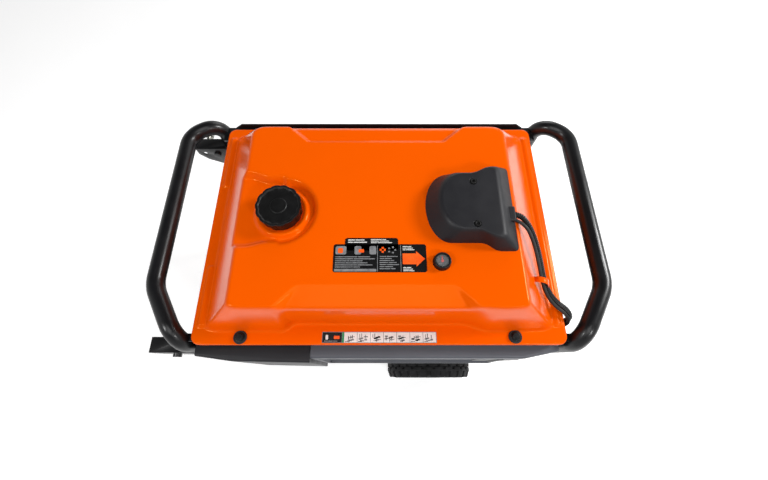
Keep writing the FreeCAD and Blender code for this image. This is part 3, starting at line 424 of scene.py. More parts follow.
def hex_screw(centre, direction, across, height, washer=0.0):
    """Hexagon head with a chamfered crown, on a washer if one is asked for."""
    d = Vector(direction).normalized()
    c = Vector(centre)
    parts = []
    if washer:
        disc = cylinder(c + d * 0.8 * MM, d, washer, 1.6 * MM, 24)
        ease(disc, 0.3 * MM, 1)
        parts.append(disc)
        c = c + d * 1.6 * MM
    head = cylinder(c + d * height / 2, d, across / math.sqrt(3), height, 6)
    ease(head, height * 0.14, 2, 25)
    parts.append(head)
    return joined(parts)


def screws(name, body, material, rows):
    """rows: (centre, direction, across flats, height, washer radius) in millimetres."""
    made = [
        hex_screw(Vector(c) * MM, d, across * MM, height * MM, washer * MM)
        for c, d, across, height, washer in rows
    ]
    return hand_over(joined(made), name, body, material)


def routed(points, step=1.5):
    """Evenly spaced places, in metres, on the smooth line that a route's points in millimetres give."""
    curve = bpy.data.curves.new("route", "CURVE")
    curve.dimensions = "3D"
    spline = curve.splines.new("NURBS")
    spline.points.add(len(points) - 1)
    for point, place in zip(spline.points, points):
        point.co = (*(Vector(place) * MM), 1)
    spline.order_u = 3
    spline.use_endpoint_u = True
    spline.resolution_u = 16
    holder = bpy.data.objects.new("route", curve)
    line = [v.co.copy() for v in bpy.data.meshes.new_from_object(holder).vertices]
    bpy.data.objects.remove(holder)
    lengths = [0.0]
    for a, b in zip(line, line[1:]):
        lengths.append(lengths[-1] + (b - a).length)
    count = int(lengths[-1] / (step * MM))
    result, k = [], 0
    for i in range(count + 1):
        s = lengths[-1] * i / count
        while k < len(lengths) - 2 and lengths[k + 1] < s:
            k += 1
        span = max(lengths[k + 1] - lengths[k], 1e-9)
        result.append(line[k].lerp(line[k + 1], (s - lengths[k]) / span))
    return result


def skinned(name, rings, inset=0.0):
    """A closed skin over rings of points, with flat ends. The last end may have an inset face."""
    mesh = bpy.data.meshes.new(name)
    bm = bmesh.new()
    loops = [[bm.verts.new(p) for p in ring] for ring in rings]
    for low, high in zip(loops, loops[1:]):
        for i in range(len(low)):
            k = (i + 1) % len(low)
            bm.faces.new((low[i], low[k], high[k], high[i]))
    bm.faces.new(loops[0][::-1])
    end = bm.faces.new(loops[-1])
    if inset:
        bmesh.ops.inset_individual(bm, faces=[end], thickness=inset)
    bm.to_mesh(mesh)
    bm.free()
    return placed(name, mesh)


def tube(name, path, radii, sides=16):
    """A closed tube whose radius may change from ring to ring, carried along a path without twisting."""
    side = None
    rings = []
    for i, p in enumerate(path):
        along = (path[min(i + 1, len(path) - 1)] - path[max(i - 1, 0)]).normalized()
        side = (along.orthogonal() if side is None else side - along * side.dot(along)).normalized()
        up = along.cross(side)
        turns = [2 * math.pi * j / sides for j in range(sides)]
        rings.append([p + (side * math.cos(a) + up * math.sin(a)) * radii[i] for a in turns])
    return skinned(name, rings)


def spun(name, section, centre, axis, steps=96, closed=True):
    """Turns a section of (radius, along) points round an axis through the centre."""
    mesh = bpy.data.meshes.new(name)
    count = len(section)
    edges = [(i, (i + 1) % count) for i in range(count if closed else count - 1)]
    mesh.from_pydata([(r, 0, h) for r, h in section], edges, [])
    obj = placed(name, mesh)
    with editing(obj):
        bpy.ops.mesh.select_all(action="SELECT")
        bpy.ops.mesh.spin(steps=steps, angle=2 * math.pi, center=(0, 0, 0), axis=(0, 0, 1))
        bpy.ops.mesh.select_all(action="SELECT")
        bpy.ops.mesh.remove_doubles(threshold=0.02 * MM)
        bpy.ops.mesh.normals_make_consistent(inside=False)
    bm = bmesh.new()
    bm.from_mesh(mesh)
    widest = max(bm.faces, key=lambda f: f.calc_center_median().xy.length)
    away = widest.calc_center_median().to_2d()
    if widest.normal.to_2d().dot(away) < 0:
        bmesh.ops.reverse_faces(bm, faces=bm.faces)
    bm.to_mesh(mesh)
    bm.free()
    turn = Z.rotation_difference(Vector(axis)).to_matrix().to_4x4()
    mesh.transform(Matrix.Translation(centre) @ turn)
    return obj


# ---- fuel tank ----
TANK_HALF = (297.0, 206.25)
TANK_MIDDLE_Y = -0.25
FLANGE_Z, TOP_Z = 573.0, 655.0
FILLER = (-151.6, -13.3)
NECK_R = 30.0
STEP = 2.4
CORNER, ROLL = 14.0, 2.5


def blurred(field, spread):
    """Gaussian blur of a field sampled every millimetre."""
    reach = int(3 * spread) + 1
    weights = np.exp(-0.5 * (np.arange(-reach, reach + 1) / spread) ** 2)
    weights /= weights.sum()
    for axis in (0, 1):
        padded = np.pad(field, [(reach, reach) if a == axis else (0, 0) for a in (0, 1)], mode="edge")
        out = np.zeros_like(field)
        for k, w in enumerate(weights):
            part = padded[k : k + field.shape[0], :] if axis == 0 else padded[:, k : k + field.shape[1]]
            out += w * part
        field = out
    return field


def soft_min(a, b, width):
    h = np.clip(0.5 + 0.5 * (b - a) / width, 0, 1)
    return b * (1 - h) + a * h - width * h * (1 - h)


def ease_step(v, low, high):
    t = np.clip((v - low) / (high - low), 0, 1)
    return t * t * (3 - 2 * t)


def tank_field():
    """Height of the pressing above its flange, every millimetre, in millimetres."""
    xs, ys = np.arange(-312, 313.0), np.arange(-218, 219.0)
    x, y = np.meshgrid(xs, ys, indexing="ij")
    height = TOP_Z - FLANGE_Z
    centre = ease_step(x, -153, -133) * ease_step(-x, -177, -128)
    foot = -184.5 + 13 * centre
    front = (y - foot) * height / (-164.5 - foot)
    back = (190 - y) * height / 44
    left, right = (x + 277) * height / 63, (277 - x) * height / 66
    walls = soft_min(soft_min(left, right, 8), soft_min(front, back, 8), 34)
    # Front facet: falls towards the user between two slanting sides.
    facet = np.minimum(0.30 * (-131 - y), 1.0 * (x + 116 - (y + 131) * 0.97))
    facet = np.minimum(facet, 1.0 * (108 - (y + 131) * 1.0 - x))
    top = height - np.clip(facet, 0, 14)
    # Spill well round the filler, open to the left wall.
    upper = 47 + 9 * ease_step(-x, 176, 210) + 6 * ease_step(-x, 215, 250)
    lower = -66 - 8 * ease_step(-x, 165, 205) - 4 * ease_step(-x, 215, 250)
    r = np.hypot(x - FILLER[0], y - FILLER[1])
    inside = np.where(x < FILLER[0], np.minimum(upper - y, y - lower), 56 - r)
    well = np.clip(12 - np.clip((7.5 - inside) * 1.6, 0, 12), 0, 12)
    top = np.minimum(top, height - well)
    sharp = np.clip(np.minimum(walls, top), 0, None)
    ring = 77.5 - np.clip((r - 40.5) * 2.2, 0, 30) - np.clip((37 - r) * 1.2, 0, 6)
    sharp = np.where(r < 60, np.maximum(sharp, ring), sharp)
    field = blurred(sharp, 2.0)
    # Shallow step along the back edge of the top, with slanting ends.
    behind = np.minimum(y - 115.5, (x + 118 + (y - 115.5) * 1.1))
    behind = np.minimum(behind, 108 + (y - 115.5) * 1.15 - x)
    field -= blurred(np.clip(behind * 3, 0, 7) * (walls > height - 12), 1.3)
    # Stiffening beads along both sides of the flange; the left one stops at the drain.
    for side in (-1, 1):
        bead = ease_step(side * x, 276, 280) * ease_step(-side * x, -291, -286)
        bead = bead * ease_step(y, -182, -176) * ease_step(-y, -186, -180)
        if side < 0:
            bead = bead * (1 - ease_step(y, -79.5, -78) * ease_step(-y, -74.5, -73))
        field += 3.4 * blurred(bead, 0.7)
    return xs, ys, np.clip(field, 0, height)


def sampled(field, x, y):
    xs, ys, values = field
    i, j = np.clip(x - xs[0], 0, len(xs) - 1.001), np.clip(y - ys[0], 0, len(ys) - 1.001)
    a, b = i.astype(int), j.astype(int)
    u, v = i - a, j - b
    low = values[a, b] * (1 - v) + values[a, b + 1] * v
    high = values[a + 1, b] * (1 - v) + values[a + 1, b + 1] * v
    return low * (1 - u) + high * u


def outward(x, y, radius):
    """Unit normal of the tank's rounded outline at a point on it."""
    cx = np.clip(x, -TANK_HALF[0] + radius, TANK_HALF[0] - radius)
    low, high = TANK_MIDDLE_Y - TANK_HALF[1] + radius, TANK_MIDDLE_Y + TANK_HALF[1] - radius
    cy = np.clip(y, low, high)
    n = np.stack([x - cx, y - cy], 1)
    return n / np.linalg.norm(n, axis=1, keepdims=True)


def tank_rows():
    """Row positions from front to back, close together on the steep front wall and round the corners."""
    low, high = TANK_MIDDLE_Y - TANK_HALF[1] + ROLL, TANK_MIDDLE_Y + TANK_HALF[1] - ROLL
    rows = [low]
    while rows[-1] < high - 0.1:
        y = rows[-1]
        fine = 0.8 if -189 < y < -160 else STEP
        near = min(y - low, high - y)
        if near < 14:
            fine = 0.3 if near < 1.2 else 0.6 if near < 3 else 1.4
        rows.append(min(y + fine, high))
    return np.array(rows)


class GENERATOR_OT_tank(bpy.types.Operator):
    """Fuel tank pressing: facets, spill well, beads, and the turned-down skirt"""

    bl_idname = "generator.tank"
    bl_label = "Fuel tank"

    def execute(self, context):
        rows = tank_rows()
        columns = int(2 * TANK_HALF[0] / STEP)
        bpy.ops.mesh.primitive_grid_add(x_subdivisions=columns, y_subdivisions=len(rows) - 1, size=2)
        obj = context.object
        mesh = obj.data
        co = np.empty(len(mesh.vertices) * 3)
        mesh.vertices.foreach_get("co", co)
        co = co.reshape(-1, 3)
        y = rows[np.rint((co[:, 1] + 1) / 2 * (len(rows) - 1)).astype(int)]
        radius = CORNER - ROLL
        end = np.abs(y - TANK_MIDDLE_Y) - (TANK_HALF[1] - CORNER)
        inset = radius - np.sqrt(np.clip(radius**2 - np.clip(end, 0, radius) ** 2, 0, None))
        x = co[:, 0] * (TANK_HALF[0] - ROLL - inset)
        co[:, 0], co[:, 1] = x * MM, y * MM
        co[:, 2] = (FLANGE_Z + sampled(tank_field(), x, y)) * MM
        mesh.vertices.foreach_set("co", co.ravel())
        self.open_neck(obj)
        self.turn_down_skirt(obj, ((1.77, 572.3), (2.5, 570.5), (2.5, 561.0), (0.9, 561.0), (0.9, 569.5)))
        hand_over(obj, "tank_pressing", "frame", "enamel", ["tank_upper_shell"], angle=60)
        dress("tank_lower_shell", "enamel", 0.8)
        return {"FINISHED"}

    def open_neck(self, obj):
        """Cuts the filler's hole and draws its edge onto a circle."""
        pick(obj)
        bpy.ops.object.mode_set(mode="EDIT")
        bm = bmesh.from_edit_mesh(obj.data)
        centre = Vector((FILLER[0], FILLER[1], 0)) * MM
        gone = [f for f in bm.faces if (f.calc_center_median() - centre).to_2d().length < NECK_R * MM]
        bmesh.ops.delete(bm, geom=gone, context="FACES")
        for v in bm.verts:
            away = (v.co - centre).to_2d()
            if v.is_boundary and away.length < 2 * NECK_R * MM:
                away = away.normalized() * NECK_R * MM
                v.co.x, v.co.y = centre.x + away.x, centre.y + away.y
        bmesh.update_edit_mesh(obj.data)
        bpy.ops.object.mode_set(mode="OBJECT")

    def turn_down_skirt(self, obj, rings):
        pick(obj)
        bpy.ops.object.mode_set(mode="EDIT")
        bm = bmesh.from_edit_mesh(obj.data)
        for e in bm.edges:
            far = max(abs(v.co.x) for v in e.verts) > 0.2 or max(abs(v.co.y) for v in e.verts) > 0.19
            e.select = e.is_boundary and far
        start = {}
        for e in bm.edges:
            if e.select:
                for v in e.verts:
                    start[v.index] = v.co.copy()
        bmesh.update_edit_mesh(obj.data)
        base = np.array([c[:] for c in start.values()]) / MM
        normals = outward(base[:, 0], base[:, 1], CORNER)
        key = {(round(p[0], 3), round(p[1], 3)): (p, n) for p, n in zip(base, normals)}
        known = None
        for out, z in rings:
            bpy.ops.mesh.extrude_edges_move()
            bm = bmesh.from_edit_mesh(obj.data)
            chosen = [v for v in bm.verts if v.select]
            if known is None:
                pairs = [(v, key[(round(v.co.x / MM, 3), round(v.co.y / MM, 3))]) for v in chosen]
            else:
                pairs = [(v, known[tuple(round(c, 7) for c in v.co)]) for v in chosen]
            known = {}
            for v, (p, n) in pairs:
                v.co = Vector(((p[0] + n[0] * out) * MM, (p[1] + n[1] * out) * MM, z * MM))
                known[tuple(round(c, 7) for c in v.co)] = (p, n)
            bmesh.update_edit_mesh(obj.data)
        bpy.ops.object.mode_set(mode="OBJECT")


def lobed(obj, centre, lobes, depth, radius):
    """Draws a round part's outer wall in and out round its axis."""
    for v in obj.data.vertices:
        away = (v.co - centre).to_2d()
        if away.length > radius * 0.72:
            a = math.atan2(away.y, away.x)
            wave = abs(math.cos(lobes * a / 2)) ** 0.7
            pull = depth * (1 - wave) * min(1.0, (away.length - radius * 0.72) / (radius * 0.2))
            drop = max(0.0, centre.z + 6 * MM - v.co.z) * 0.16
            v.co.x -= away.normalized().x * (pull + drop)
            v.co.y -= away.normalized().y * (pull + drop)


class GENERATOR_OT_cap(bpy.types.Operator):
    """Fuel cap with a lobed grip, its inner plug, and the filler neck's rolled rim"""

    bl_idname = "generator.cap"
    bl_label = "Fuel cap"

    def execute(self, context):
        sizes = context.scene.generator_sizes
        low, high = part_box("fuel_cap")
        centre = (low + high) / 2
        radius, height = (high.x - low.x) / 2, high.z - low.z
        bpy.ops.mesh.primitive_cylinder_add(vertices=168, radius=radius, depth=height, location=centre)
        cap = context.object
        settle(cap)
        with editing(cap):
            # A raised rim, a sunken disc and a central boss on top, and a hollow underneath.
            for way, steps in (
                (1, ((3.5, 0), (2.0, -1.6), (9.0, -0.4), (7.5, 0.2), (1.2, 0.9), (6, 0.2))),
                (-1, ((3.8, 11.5),)),
            ):
                bm = bmesh.from_edit_mesh(cap.data)
                for f in bm.faces:
                    f.select = f.normal.z * way > 0.9
                bmesh.update_edit_mesh(cap.data)
                for inward, lift in steps:
                    bpy.ops.mesh.inset(thickness=inward * MM, depth=0)
                    if lift:
                        bpy.ops.transform.translate(value=(0, 0, lift * MM))
        lobed(cap, centre, sizes.cap_lobes, sizes.cap_lobe_depth, radius)
        ease(cap, 0.9 * MM, 2, 40)
        hand_over(cap, "fuel_cap_grip", "cap_grip", "nylon", ["fuel_cap"])
        dress("cap_core", "nylon", 0.6)
        rim = (
            (26, 618), (29, 618), (29, 652), (30.2, 653.2), (30.6, 654.6), (30, 655.8), (28.4, 656),
            (26.6, 655.4),
        )
        neck = spun("neck", [(r * MM, z * MM) for r, z in rim], Vector((*FILLER, 0)) * MM, Z, 80)
        hand_over(neck, "filler_neck_rolled", "frame", "enamel", ["filler_neck"], 50)
        return {"FINISHED"}


GAUGE = (91.4, -97.7)
LENS_Z = 662.6
BEZEL = (
    (9.4, 659), (9.4, 663.6), (10.0, 664.6), (11.2, 665.0), (12.1, 664.4), (12.6, 663.0), (12.8, 657),
    (13.4, 655.2), (13.4, 654.6), (9.4, 654.6),
)


class GENERATOR_OT_gauge(bpy.types.Operator):
    """Fuel gauge: bezel, printed dial, needle and clear dome, with the float below"""

    bl_idname = "generator.gauge"
    bl_label = "Fuel gauge"

    def execute(self, context):
        x, y = (v * MM for v in GAUGE)
        bezel = spun("bezel", [(r * MM, z * MM) for r, z in BEZEL], Vector((x, y, 0)), Z, 72)
        hand_over(bezel, "gauge_bezel", "frame", "nylon")
        dress("gauge_housing", "nylon", 0.4)
        face = cylinder((x, y, 659.2 * MM), Z, 9.35 * MM, 0.3 * MM, 48)
        hand_over(face, "gauge_dial", "frame", "dial_face")
        marks = []
        for i in range(5):
            a = math.radians(-60 + 30 * i)
            spot = Vector((x + 7.6 * MM * math.sin(a), y + 7.6 * MM * math.cos(a), 659.7 * MM))
            mark = block((0, 0, 0), (0.7 * MM, 2.2 * MM, 0.2 * MM))
            mark.data.transform(Matrix.Translation(spot) @ Matrix.Rotation(-a, 4, "Z"))
            marks.append(mark)
        hand_over(joined(marks), "gauge_marks", "frame", "film_black")
        foot = (x, y, LENS_Z * MM)
        bpy.ops.mesh.primitive_uv_sphere_add(segments=48, ring_count=24, radius=9.6 * MM, location=foot)
        dome = context.object
        dome.scale.z = 0.24
        settle(dome)
        with editing(dome):
            bpy.ops.mesh.select_all(action="SELECT")
            bpy.ops.mesh.bisect(plane_co=foot, plane_no=(0, 0, -1), clear_outer=True, use_fill=True)
        hand_over(dome, "gauge_lens", "frame", "lens")
        dress("gauge_needle", "red", 0.1, 1)
        dress("float_arm", "float_foam", 0.8)
        return {"FINISHED"}


# The outline's left end, its round end's reach and half width, its waist, shoulder and right end in X, and
# the half width there.
COVER_LOW = (72, 36, 58.5, 158, 174, 207, 71.5)
COVER_HIGH = (91, 33, 47, 146, 166, 182, 58)
COVER_Y = -9.5
# Heights over the tank's top, up to where the rounded edge starts, and the screws' places.
COVER_WALL = ((0, -2.4), (0, 0.4), (0.3, 8.3), (0.6, 16.2), (0.76, 20.5))
COVER_EDGE = 1.22
COVER_SCREWS = ((142.0, 21.5), (142.0, -47.8))


def cover_outline(share):
    """The pump cover's outline in millimetres, from its foot (0) to its top (1), with rounded corners."""
    left, reach, half, waist, shoulder, right, ends = (
        a + (b - a) * share for a, b in zip(COVER_LOW, COVER_HIGH)
    )
    turns = [math.pi / 2 + math.pi * k / 28 for k in range(29)]
    points = [(left + reach + reach * math.cos(a), COVER_Y + half * math.sin(a)) for a in turns]
    corners = [
        (waist, -half, 9), (shoulder, -ends, 9), (right, -ends, 8),
        (right, ends, 8), (shoulder, ends, 9), (waist, half, 9),
    ]
    ends_of_run = [(left + reach, -half, 0), *corners, (left + reach, half, 0)]
    for before, here, after in zip(ends_of_run, ends_of_run[1:], ends_of_run[2:]):
        p, q, r = (Vector(c[:2]) for c in (before, here, after))
        a = q + (p - q).normalized() * min(here[2], (p - q).length * 0.45)
        b = q + (r - q).normalized() * min(here[2], (r - q).length * 0.45)
        for k in range(7):
            t = k / 6
            c = a * (1 - t) ** 2 + q * 2 * t * (1 - t) + b * t * t
            points.append((c.x, COVER_Y + c.y))
    return points


class GENERATOR_OT_pump_cover(bpy.types.Operator):
    """Moulded pump cover with its lead outlet and screws, and the pump below"""

    bl_idname = "generator.pump_cover"
    bl_label = "Pump cover"

    def execute(self, context):
        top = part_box("pump_cover")[1].z / MM
        levels = [(share, TOP_Z + rise) for share, rise in COVER_WALL]
        share, start = levels[-1]
        for k in range(1, 9):
            t = k / 8
            levels.append((
                share * (1 - t) ** 2 + 2 * t * (1 - t) + COVER_EDGE * t * t,
                start * (1 - t) ** 2 + top * (1 - (1 - t) ** 2),
            ))
        # The taper differs on every side, so the rings are laid out one by one.
        rings = [[(x * MM, y * MM, z * MM) for x, y in cover_outline(s)] for s, z in levels]
        cover = skinned("cover", rings, 1.0 * MM)
        for x, y in COVER_SCREWS:
            sink = cylinder((x * MM, y * MM, (top + 1) * MM), Z, 5.4 * MM, 9 * MM, 32)
            modify(cover, "BOOLEAN", operation="DIFFERENCE", object=sink, solver="EXACT")
            bpy.data.objects.remove(sink)
        ease(cover, 0.5 * MM, 2, 50)
        outlet = block((194.5 * MM, -24.5 * MM, 661 * MM), (22 * MM, 24 * MM, 13 * MM))
        ease(outlet, 2.2 * MM, 4)
        moulding = joined([cover, outlet])
        hand_over(moulding, "pump_cover_moulding", "frame", "cover", ["pump_cover"], 34)
        for face in moulding.data.polygons:
            if face.normal.z > 0.999:
                face.use_smooth = False
        dress("pump_cover_screws", "oxide", 0.4)
        dress("pump_module", "pale", 0.6)
        return {"FINISHED"}


class GENERATOR_OT_tank_fixings(bpy.types.Operator):
    """Flange bolts on rubber grommets"""

    bl_idname = "generator.tank_fixings"
    bl_label = "Tank fixings"

    def execute(self, context):
        dress("tank_bolts", "oxide", 0.5)
        rings = []
        for x, y in ((-218, -195.5), (214, -194.5), (-216, 196), (216, 196)):
            bpy.ops.mesh.primitive_torus_add(
                major_segments=40, minor_segments=10, major_radius=9.0 * MM, minor_radius=1.7 * MM,
                location=(x * MM, y * MM, 574.2 * MM),
            )
            settle(context.object)
            rings.append(context.object)
        hand_over(joined(rings), "flange_grommets", "frame", "rubber")
        return {"FINISHED"}


# ---- labels ----
def film(x, y, z, material, lift=0.15, corner=0.35):
    """A patch of printed film between two corners, in millimetres, with rounded corners."""
    wide, tall = x[1] - x[0], y[1] - y[0]
    deselect()
    bpy.ops.mesh.primitive_plane_add(size=MM, location=(sum(x) / 2 * MM, sum(y) / 2 * MM, z * MM))
    patch = bpy.context.object
    patch.scale = (wide, tall, 1)
    settle(patch)
    corner = min(corner, wide * 0.45, tall * 0.45)
    with editing(patch):
        bpy.ops.mesh.select_all(action="SELECT")
        bpy.ops.mesh.bevel(offset=corner * MM, segments=2 if corner < 1 else 5, affect="VERTICES")
        bpy.ops.mesh.select_all(action="SELECT")
        bpy.ops.mesh.extrude_region_move(TRANSFORM_OT_translate={"value": (0, 0, lift * MM)})
        bpy.ops.mesh.select_all(action="SELECT")
        bpy.ops.mesh.normals_make_consistent(inside=False)
    patch.data.materials.append(MATS[material])
    return patch


def films(z, *rows):
    """Patches at one height, each with its X and Y extents, colour, thickness and corner."""
    return [film(x, y, z, "film_" + colour, lift, corner) for x, y, colour, lift, corner in rows]


def lines(x, y, count, pitch, z, material, seed):
    """Rows of short bars that stand for print; they carry no words."""
    rows = []
    for i in range(count):
        short = (x[1] - x[0]) * (((i * 5 + seed * 3) % 7) / 16)
        gap = x[0] + (x[1] - x[0]) * (0.25 + 0.1 * ((i * 3 + seed) % 4))
        top = y - i * pitch
        rows.append(film((x[0], gap), (top - pitch * 0.42, top), z, material, 0.08, 0.2))
        rows.append(film((gap + 0.8, x[1] - short), (top - pitch * 0.42, top), z, material, 0.08, 0.2))
    return rows


class GENERATOR_OT_labels(bpy.types.Operator):
    """Two wordless film labels: a black plate on the top and a strip on the front flange"""

    bl_idname = "generator.labels"
    bl_label = "Labels"

    def execute(self, context):
        z = TOP_Z + 0.05
        top = z + 0.35
        pieces = films(
            z, ((-67, 69.5), (-113, -70), "black", 0.35, 3.5), ((-50.5, 28.5), (-80, -60), "black", 0.35, 4)
        )
        pieces += lines((-46, -16), -62.5, 2, 3.6, top, "film_white", 1)
        pieces += lines((-12, 24), -62, 3, 2.5, top, "film_white", 2)
        pieces += films(
            top,
            *(((x, x + 0.8), (-112, -72), "grey", 0.08, 0.2) for x in (-2.6, 31.5)),
            *(((x, right), (-86, -73), "grey", 0.08, 2.5) for x, right in ((-64, -48), (-36, -26), (-14, -4))),
        )
        pieces += films(
            top + 0.08,
            ((-60.5, -53), (-84, -76), "orange", 0.08, 2), ((-30, -22), (-83, -78), "orange", 0.08, 1),
        )
        pieces += lines((-64, -6), -89, 6, 3.1, top, "film_grey", 3)
        pieces += films(
            top,
            ((-65, -4), (-112, -108), "grey", 0.08, 0.8),
            ((1, 10), (-80.4, -77.2), "orange", 0.08, 0.3), ((3.9, 7.1), (-83.3, -74.3), "orange", 0.08, 0.3),
        )
        for a in range(5):
            x, y = 19 + 5 * math.cos(a * 1.257), -79 + 4.4 * math.sin(a * 1.257)
            pieces += films(top, ((x - 1.4, x + 1.4), (y - 1.2, y + 1.2), "grey", 0.08, 0.6))
        pieces += lines((1, 29), -88.5, 7, 3.1, top, "film_grey", 5)
        pieces += lines((35, 52), -73, 3, 2.6, top, "film_white", 6)
        pieces += lines((35, 52), -105.5, 3, 2.4, top, "film_white", 4)
        pieces += films(top, ((34.5, 54.4), (-101, -84.5), "orange", 0.08, 0.6))
        bpy.ops.mesh.primitive_cylinder_add(
            vertices=3, radius=13.6 * MM, depth=0.08 * MM, location=(0, 0, (top + 0.04) * MM)
        )
        arrow = context.object
        arrow.rotation_euler.z = math.radians(-90)
        settle(arrow)
        for v in arrow.data.vertices:
            v.co.x = (v.co.x + 6.8 * MM) * 0.62 + 54.5 * MM
            v.co.y -= 92.7 * MM
        arrow.data.materials.append(MATS["film_orange"])
        pieces.append(arrow)
        hand_over(joined(pieces), "top_label", "frame", None)

        z = FLANGE_Z + 0.02
        top = z + 0.3
        band = (-203.2, -187.8)
        strip = films(z, ((-89.5, 90.5), (-204, -187), "grey", 0.3, 0.8))
        strip += films(top, ((-88.8, -58.5), band, "black", 0.1, 0.5))
        strip += films(
            top + 0.1,
            ((-71, -62), (-198, -193), "orange", 0.08, 1), ((-84, -80), (-199, -191.5), "white", 0.08, 1.6),
        )
        strip += lines((-86, -62), -200.5, 1, 3, top + 0.1, "film_grey", 3)
        strip += films(top, ((-57.8, -55.2), band, "green", 0.1, 0.3))
        colours = ("grey", "black", "grey", "orange")
        for i in range(7):
            x = -54.6 + 20.7 * i
            strip += films(top, ((x, x + 20), band, "white", 0.1, 0.3))
            for k in range(9):
                left, low = x + 1 + ((i * 5 + k * 11) % 12), -202.2 + ((i * 7 + k * 5) % 8)
                wide, tall = ((6.5, 1.1), (1.1, 5.6), (4.2, 2.6))[(i + k) % 3]
                colour = colours[(i * 2 + k) % (4 if k == 4 else 3)]
                strip += films(top + 0.1, ((left, left + wide), (low, low + tall), colour, 0.08, 0.3))
        hand_over(joined(strip), "front_strip_label", "frame", None)
        return {"FINISHED"}


# ---- leads ----
LOOM = (
    (200, -24, 661.5), (214, -24, 661.5), (227, -38, 655), (238, -54, 643), (246, -74, 631),
    (250, -95, 624), (254, -114, 616), (264, -130, 603), (280, -143, 590), (297, -153, 584),
    (308, -163, 572), (308, -168, 553), (298, -168, 534), (279, -165, 517), (279, -165, 494),
)
WALL_NORMAL = Vector((0.75, -0.2, 0.63))
LOOM_R, HOSE_R, HOSE_SPACING = 4.5, 2.6, 8.2


def hose_route():
    p = [Vector(q) for q in LOOM]
    route = [p[0] + Vector((0, -HOSE_SPACING, -1.5)), p[1] + Vector((-6, -HOSE_SPACING, -1.5))]
    for i in range(2, len(p)):
        along = -Z if i > len(p) - 3 else p[i + 1] - p[i - 1]
        route.append(p[i] + along.cross(WALL_NORMAL).normalized() * HOSE_SPACING)
    return route


class GENERATOR_OT_leads(bpy.types.Operator):
    """Corrugated wiring conduit and fuel hose, with the tank's clip over them"""

    bl_idname = "generator.leads"
    bl_label = "Leads"

    def execute(self, context):
        pitch = context.scene.generator_sizes.conduit_pitch
        path = routed(LOOM, step=pitch / MM / 4)
        shape = (LOOM_R, LOOM_R, LOOM_R * 0.84, LOOM_R * 0.84)
        radii = [shape[i % 4] * MM for i in range(len(path))]
        loom = tube("wiring_conduit", path, radii, 14)
        hand_over(loom, "wiring_conduit", "frame", "conduit", ["wiring_loom"], 25)
        path = routed(hose_route(), step=3)
        hose = tube("fuel_line", path, [HOSE_R * MM] * len(path), 14)
        hand_over(hose, "fuel_line", "frame", "hose", ["fuel_hose"])
        # Pressed strap over both leads, spot-welded to the tank's wall.
        strap = ((233, -113, 612), (239, -114.5, 625), (249, -117, 628), (259, -119.5, 622), (264, -121, 606))
        bpy.ops.mesh.primitive_plane_add(size=1)
        obj = context.object
        across = Vector((0.24, 0.94, -0.1)).normalized() * 4.5 * MM
        with editing(obj):
            bm = bmesh.from_edit_mesh(obj.data)
            bm.clear()
            rows = [(bm.verts.new(p - across), bm.verts.new(p + across)) for p in routed(strap, step=2)]
            for a, b in zip(rows, rows[1:]):
                bm.faces.new((a[0], a[1], b[1], b[0]))
            bmesh.update_edit_mesh(obj.data)
        modify(obj, "SOLIDIFY", thickness=1.2 * MM, offset=0)
        ease(obj, 0.3 * MM, 2)
        hand_over(obj, "lead_clip", "frame", "enamel")
        return {"FINISHED"}


# ---- frame ----
class GENERATOR_OT_frame(bpy.types.Operator):
    """Hoops, base, tank supports, brackets, legs and axle, with weld beads"""

    bl_idname = "generator.frame"
    bl_label = "Frame"

    def execute(self, context):
        for node in ("left_hoop", "right_hoop"):
            dress(node, "tube", 0)
        for node, edge in (("base_frame", 0.8), ("support_legs", 1.5), ("front_tank_support", 0.8),
                           ("rear_tank_support", 0.7), ("handle_brackets", 0.6)):
            dress(node, "tube", edge)
        dress("axle", "zinc", 0.4)
        dress("isolators", "rubber", 1.2)
        dress("rubber_feet", "rubber", 1.2)
        self.weld_beads()
        return {"FINISHED"}

    def weld_beads(self):
        """A rippled bead round each foot of the hoops and round the end bars."""
        beads = []
        for sx in (-1, 1):
            for sy in (-1, 1):
                spots = [
                    (Vector((sx * 300.8, sy * 186.8, 152.2)), Vector((sx * 0.04, sy * 0.04, 1)), 14.0),
                    (Vector((sx * 268, sy * 172.5, 138)), Y, 14.0),
                ]
                for centre, axis, radius in spots:
                    bpy.ops.mesh.primitive_torus_add(
                        major_segments=72, minor_segments=8, major_radius=radius * MM, minor_radius=2.2 * MM,
                    )
                    bead = bpy.context.object
                    for v in bead.data.vertices:
                        a = math.atan2(v.co.y, v.co.x)
                        v.co *= 1 + 0.012 * math.sin(26 * a) + 0.006 * math.sin(7 * a + 1)
                    turn = Z.rotation_difference(axis.normalized()).to_matrix().to_4x4()
                    bead.data.transform(Matrix.Translation(centre * MM) @ turn)
                    beads.append(bead)
        hand_over(joined(beads), "weld_beads", "frame", "tube")


class GENERATOR_OT_handle(bpy.types.Operator):
    """Folding handle with its ribbed grip and lock pin"""

    bl_idname = "generator.handle"
    bl_label = "Handle"

    def execute(self, context):
        dress("handle_tube", "tube", 0.4)
        dress("handle_grip", "rubber", 1.0)
        dress("lock_pin", "zinc", 0.5)
        return {"FINISHED"}


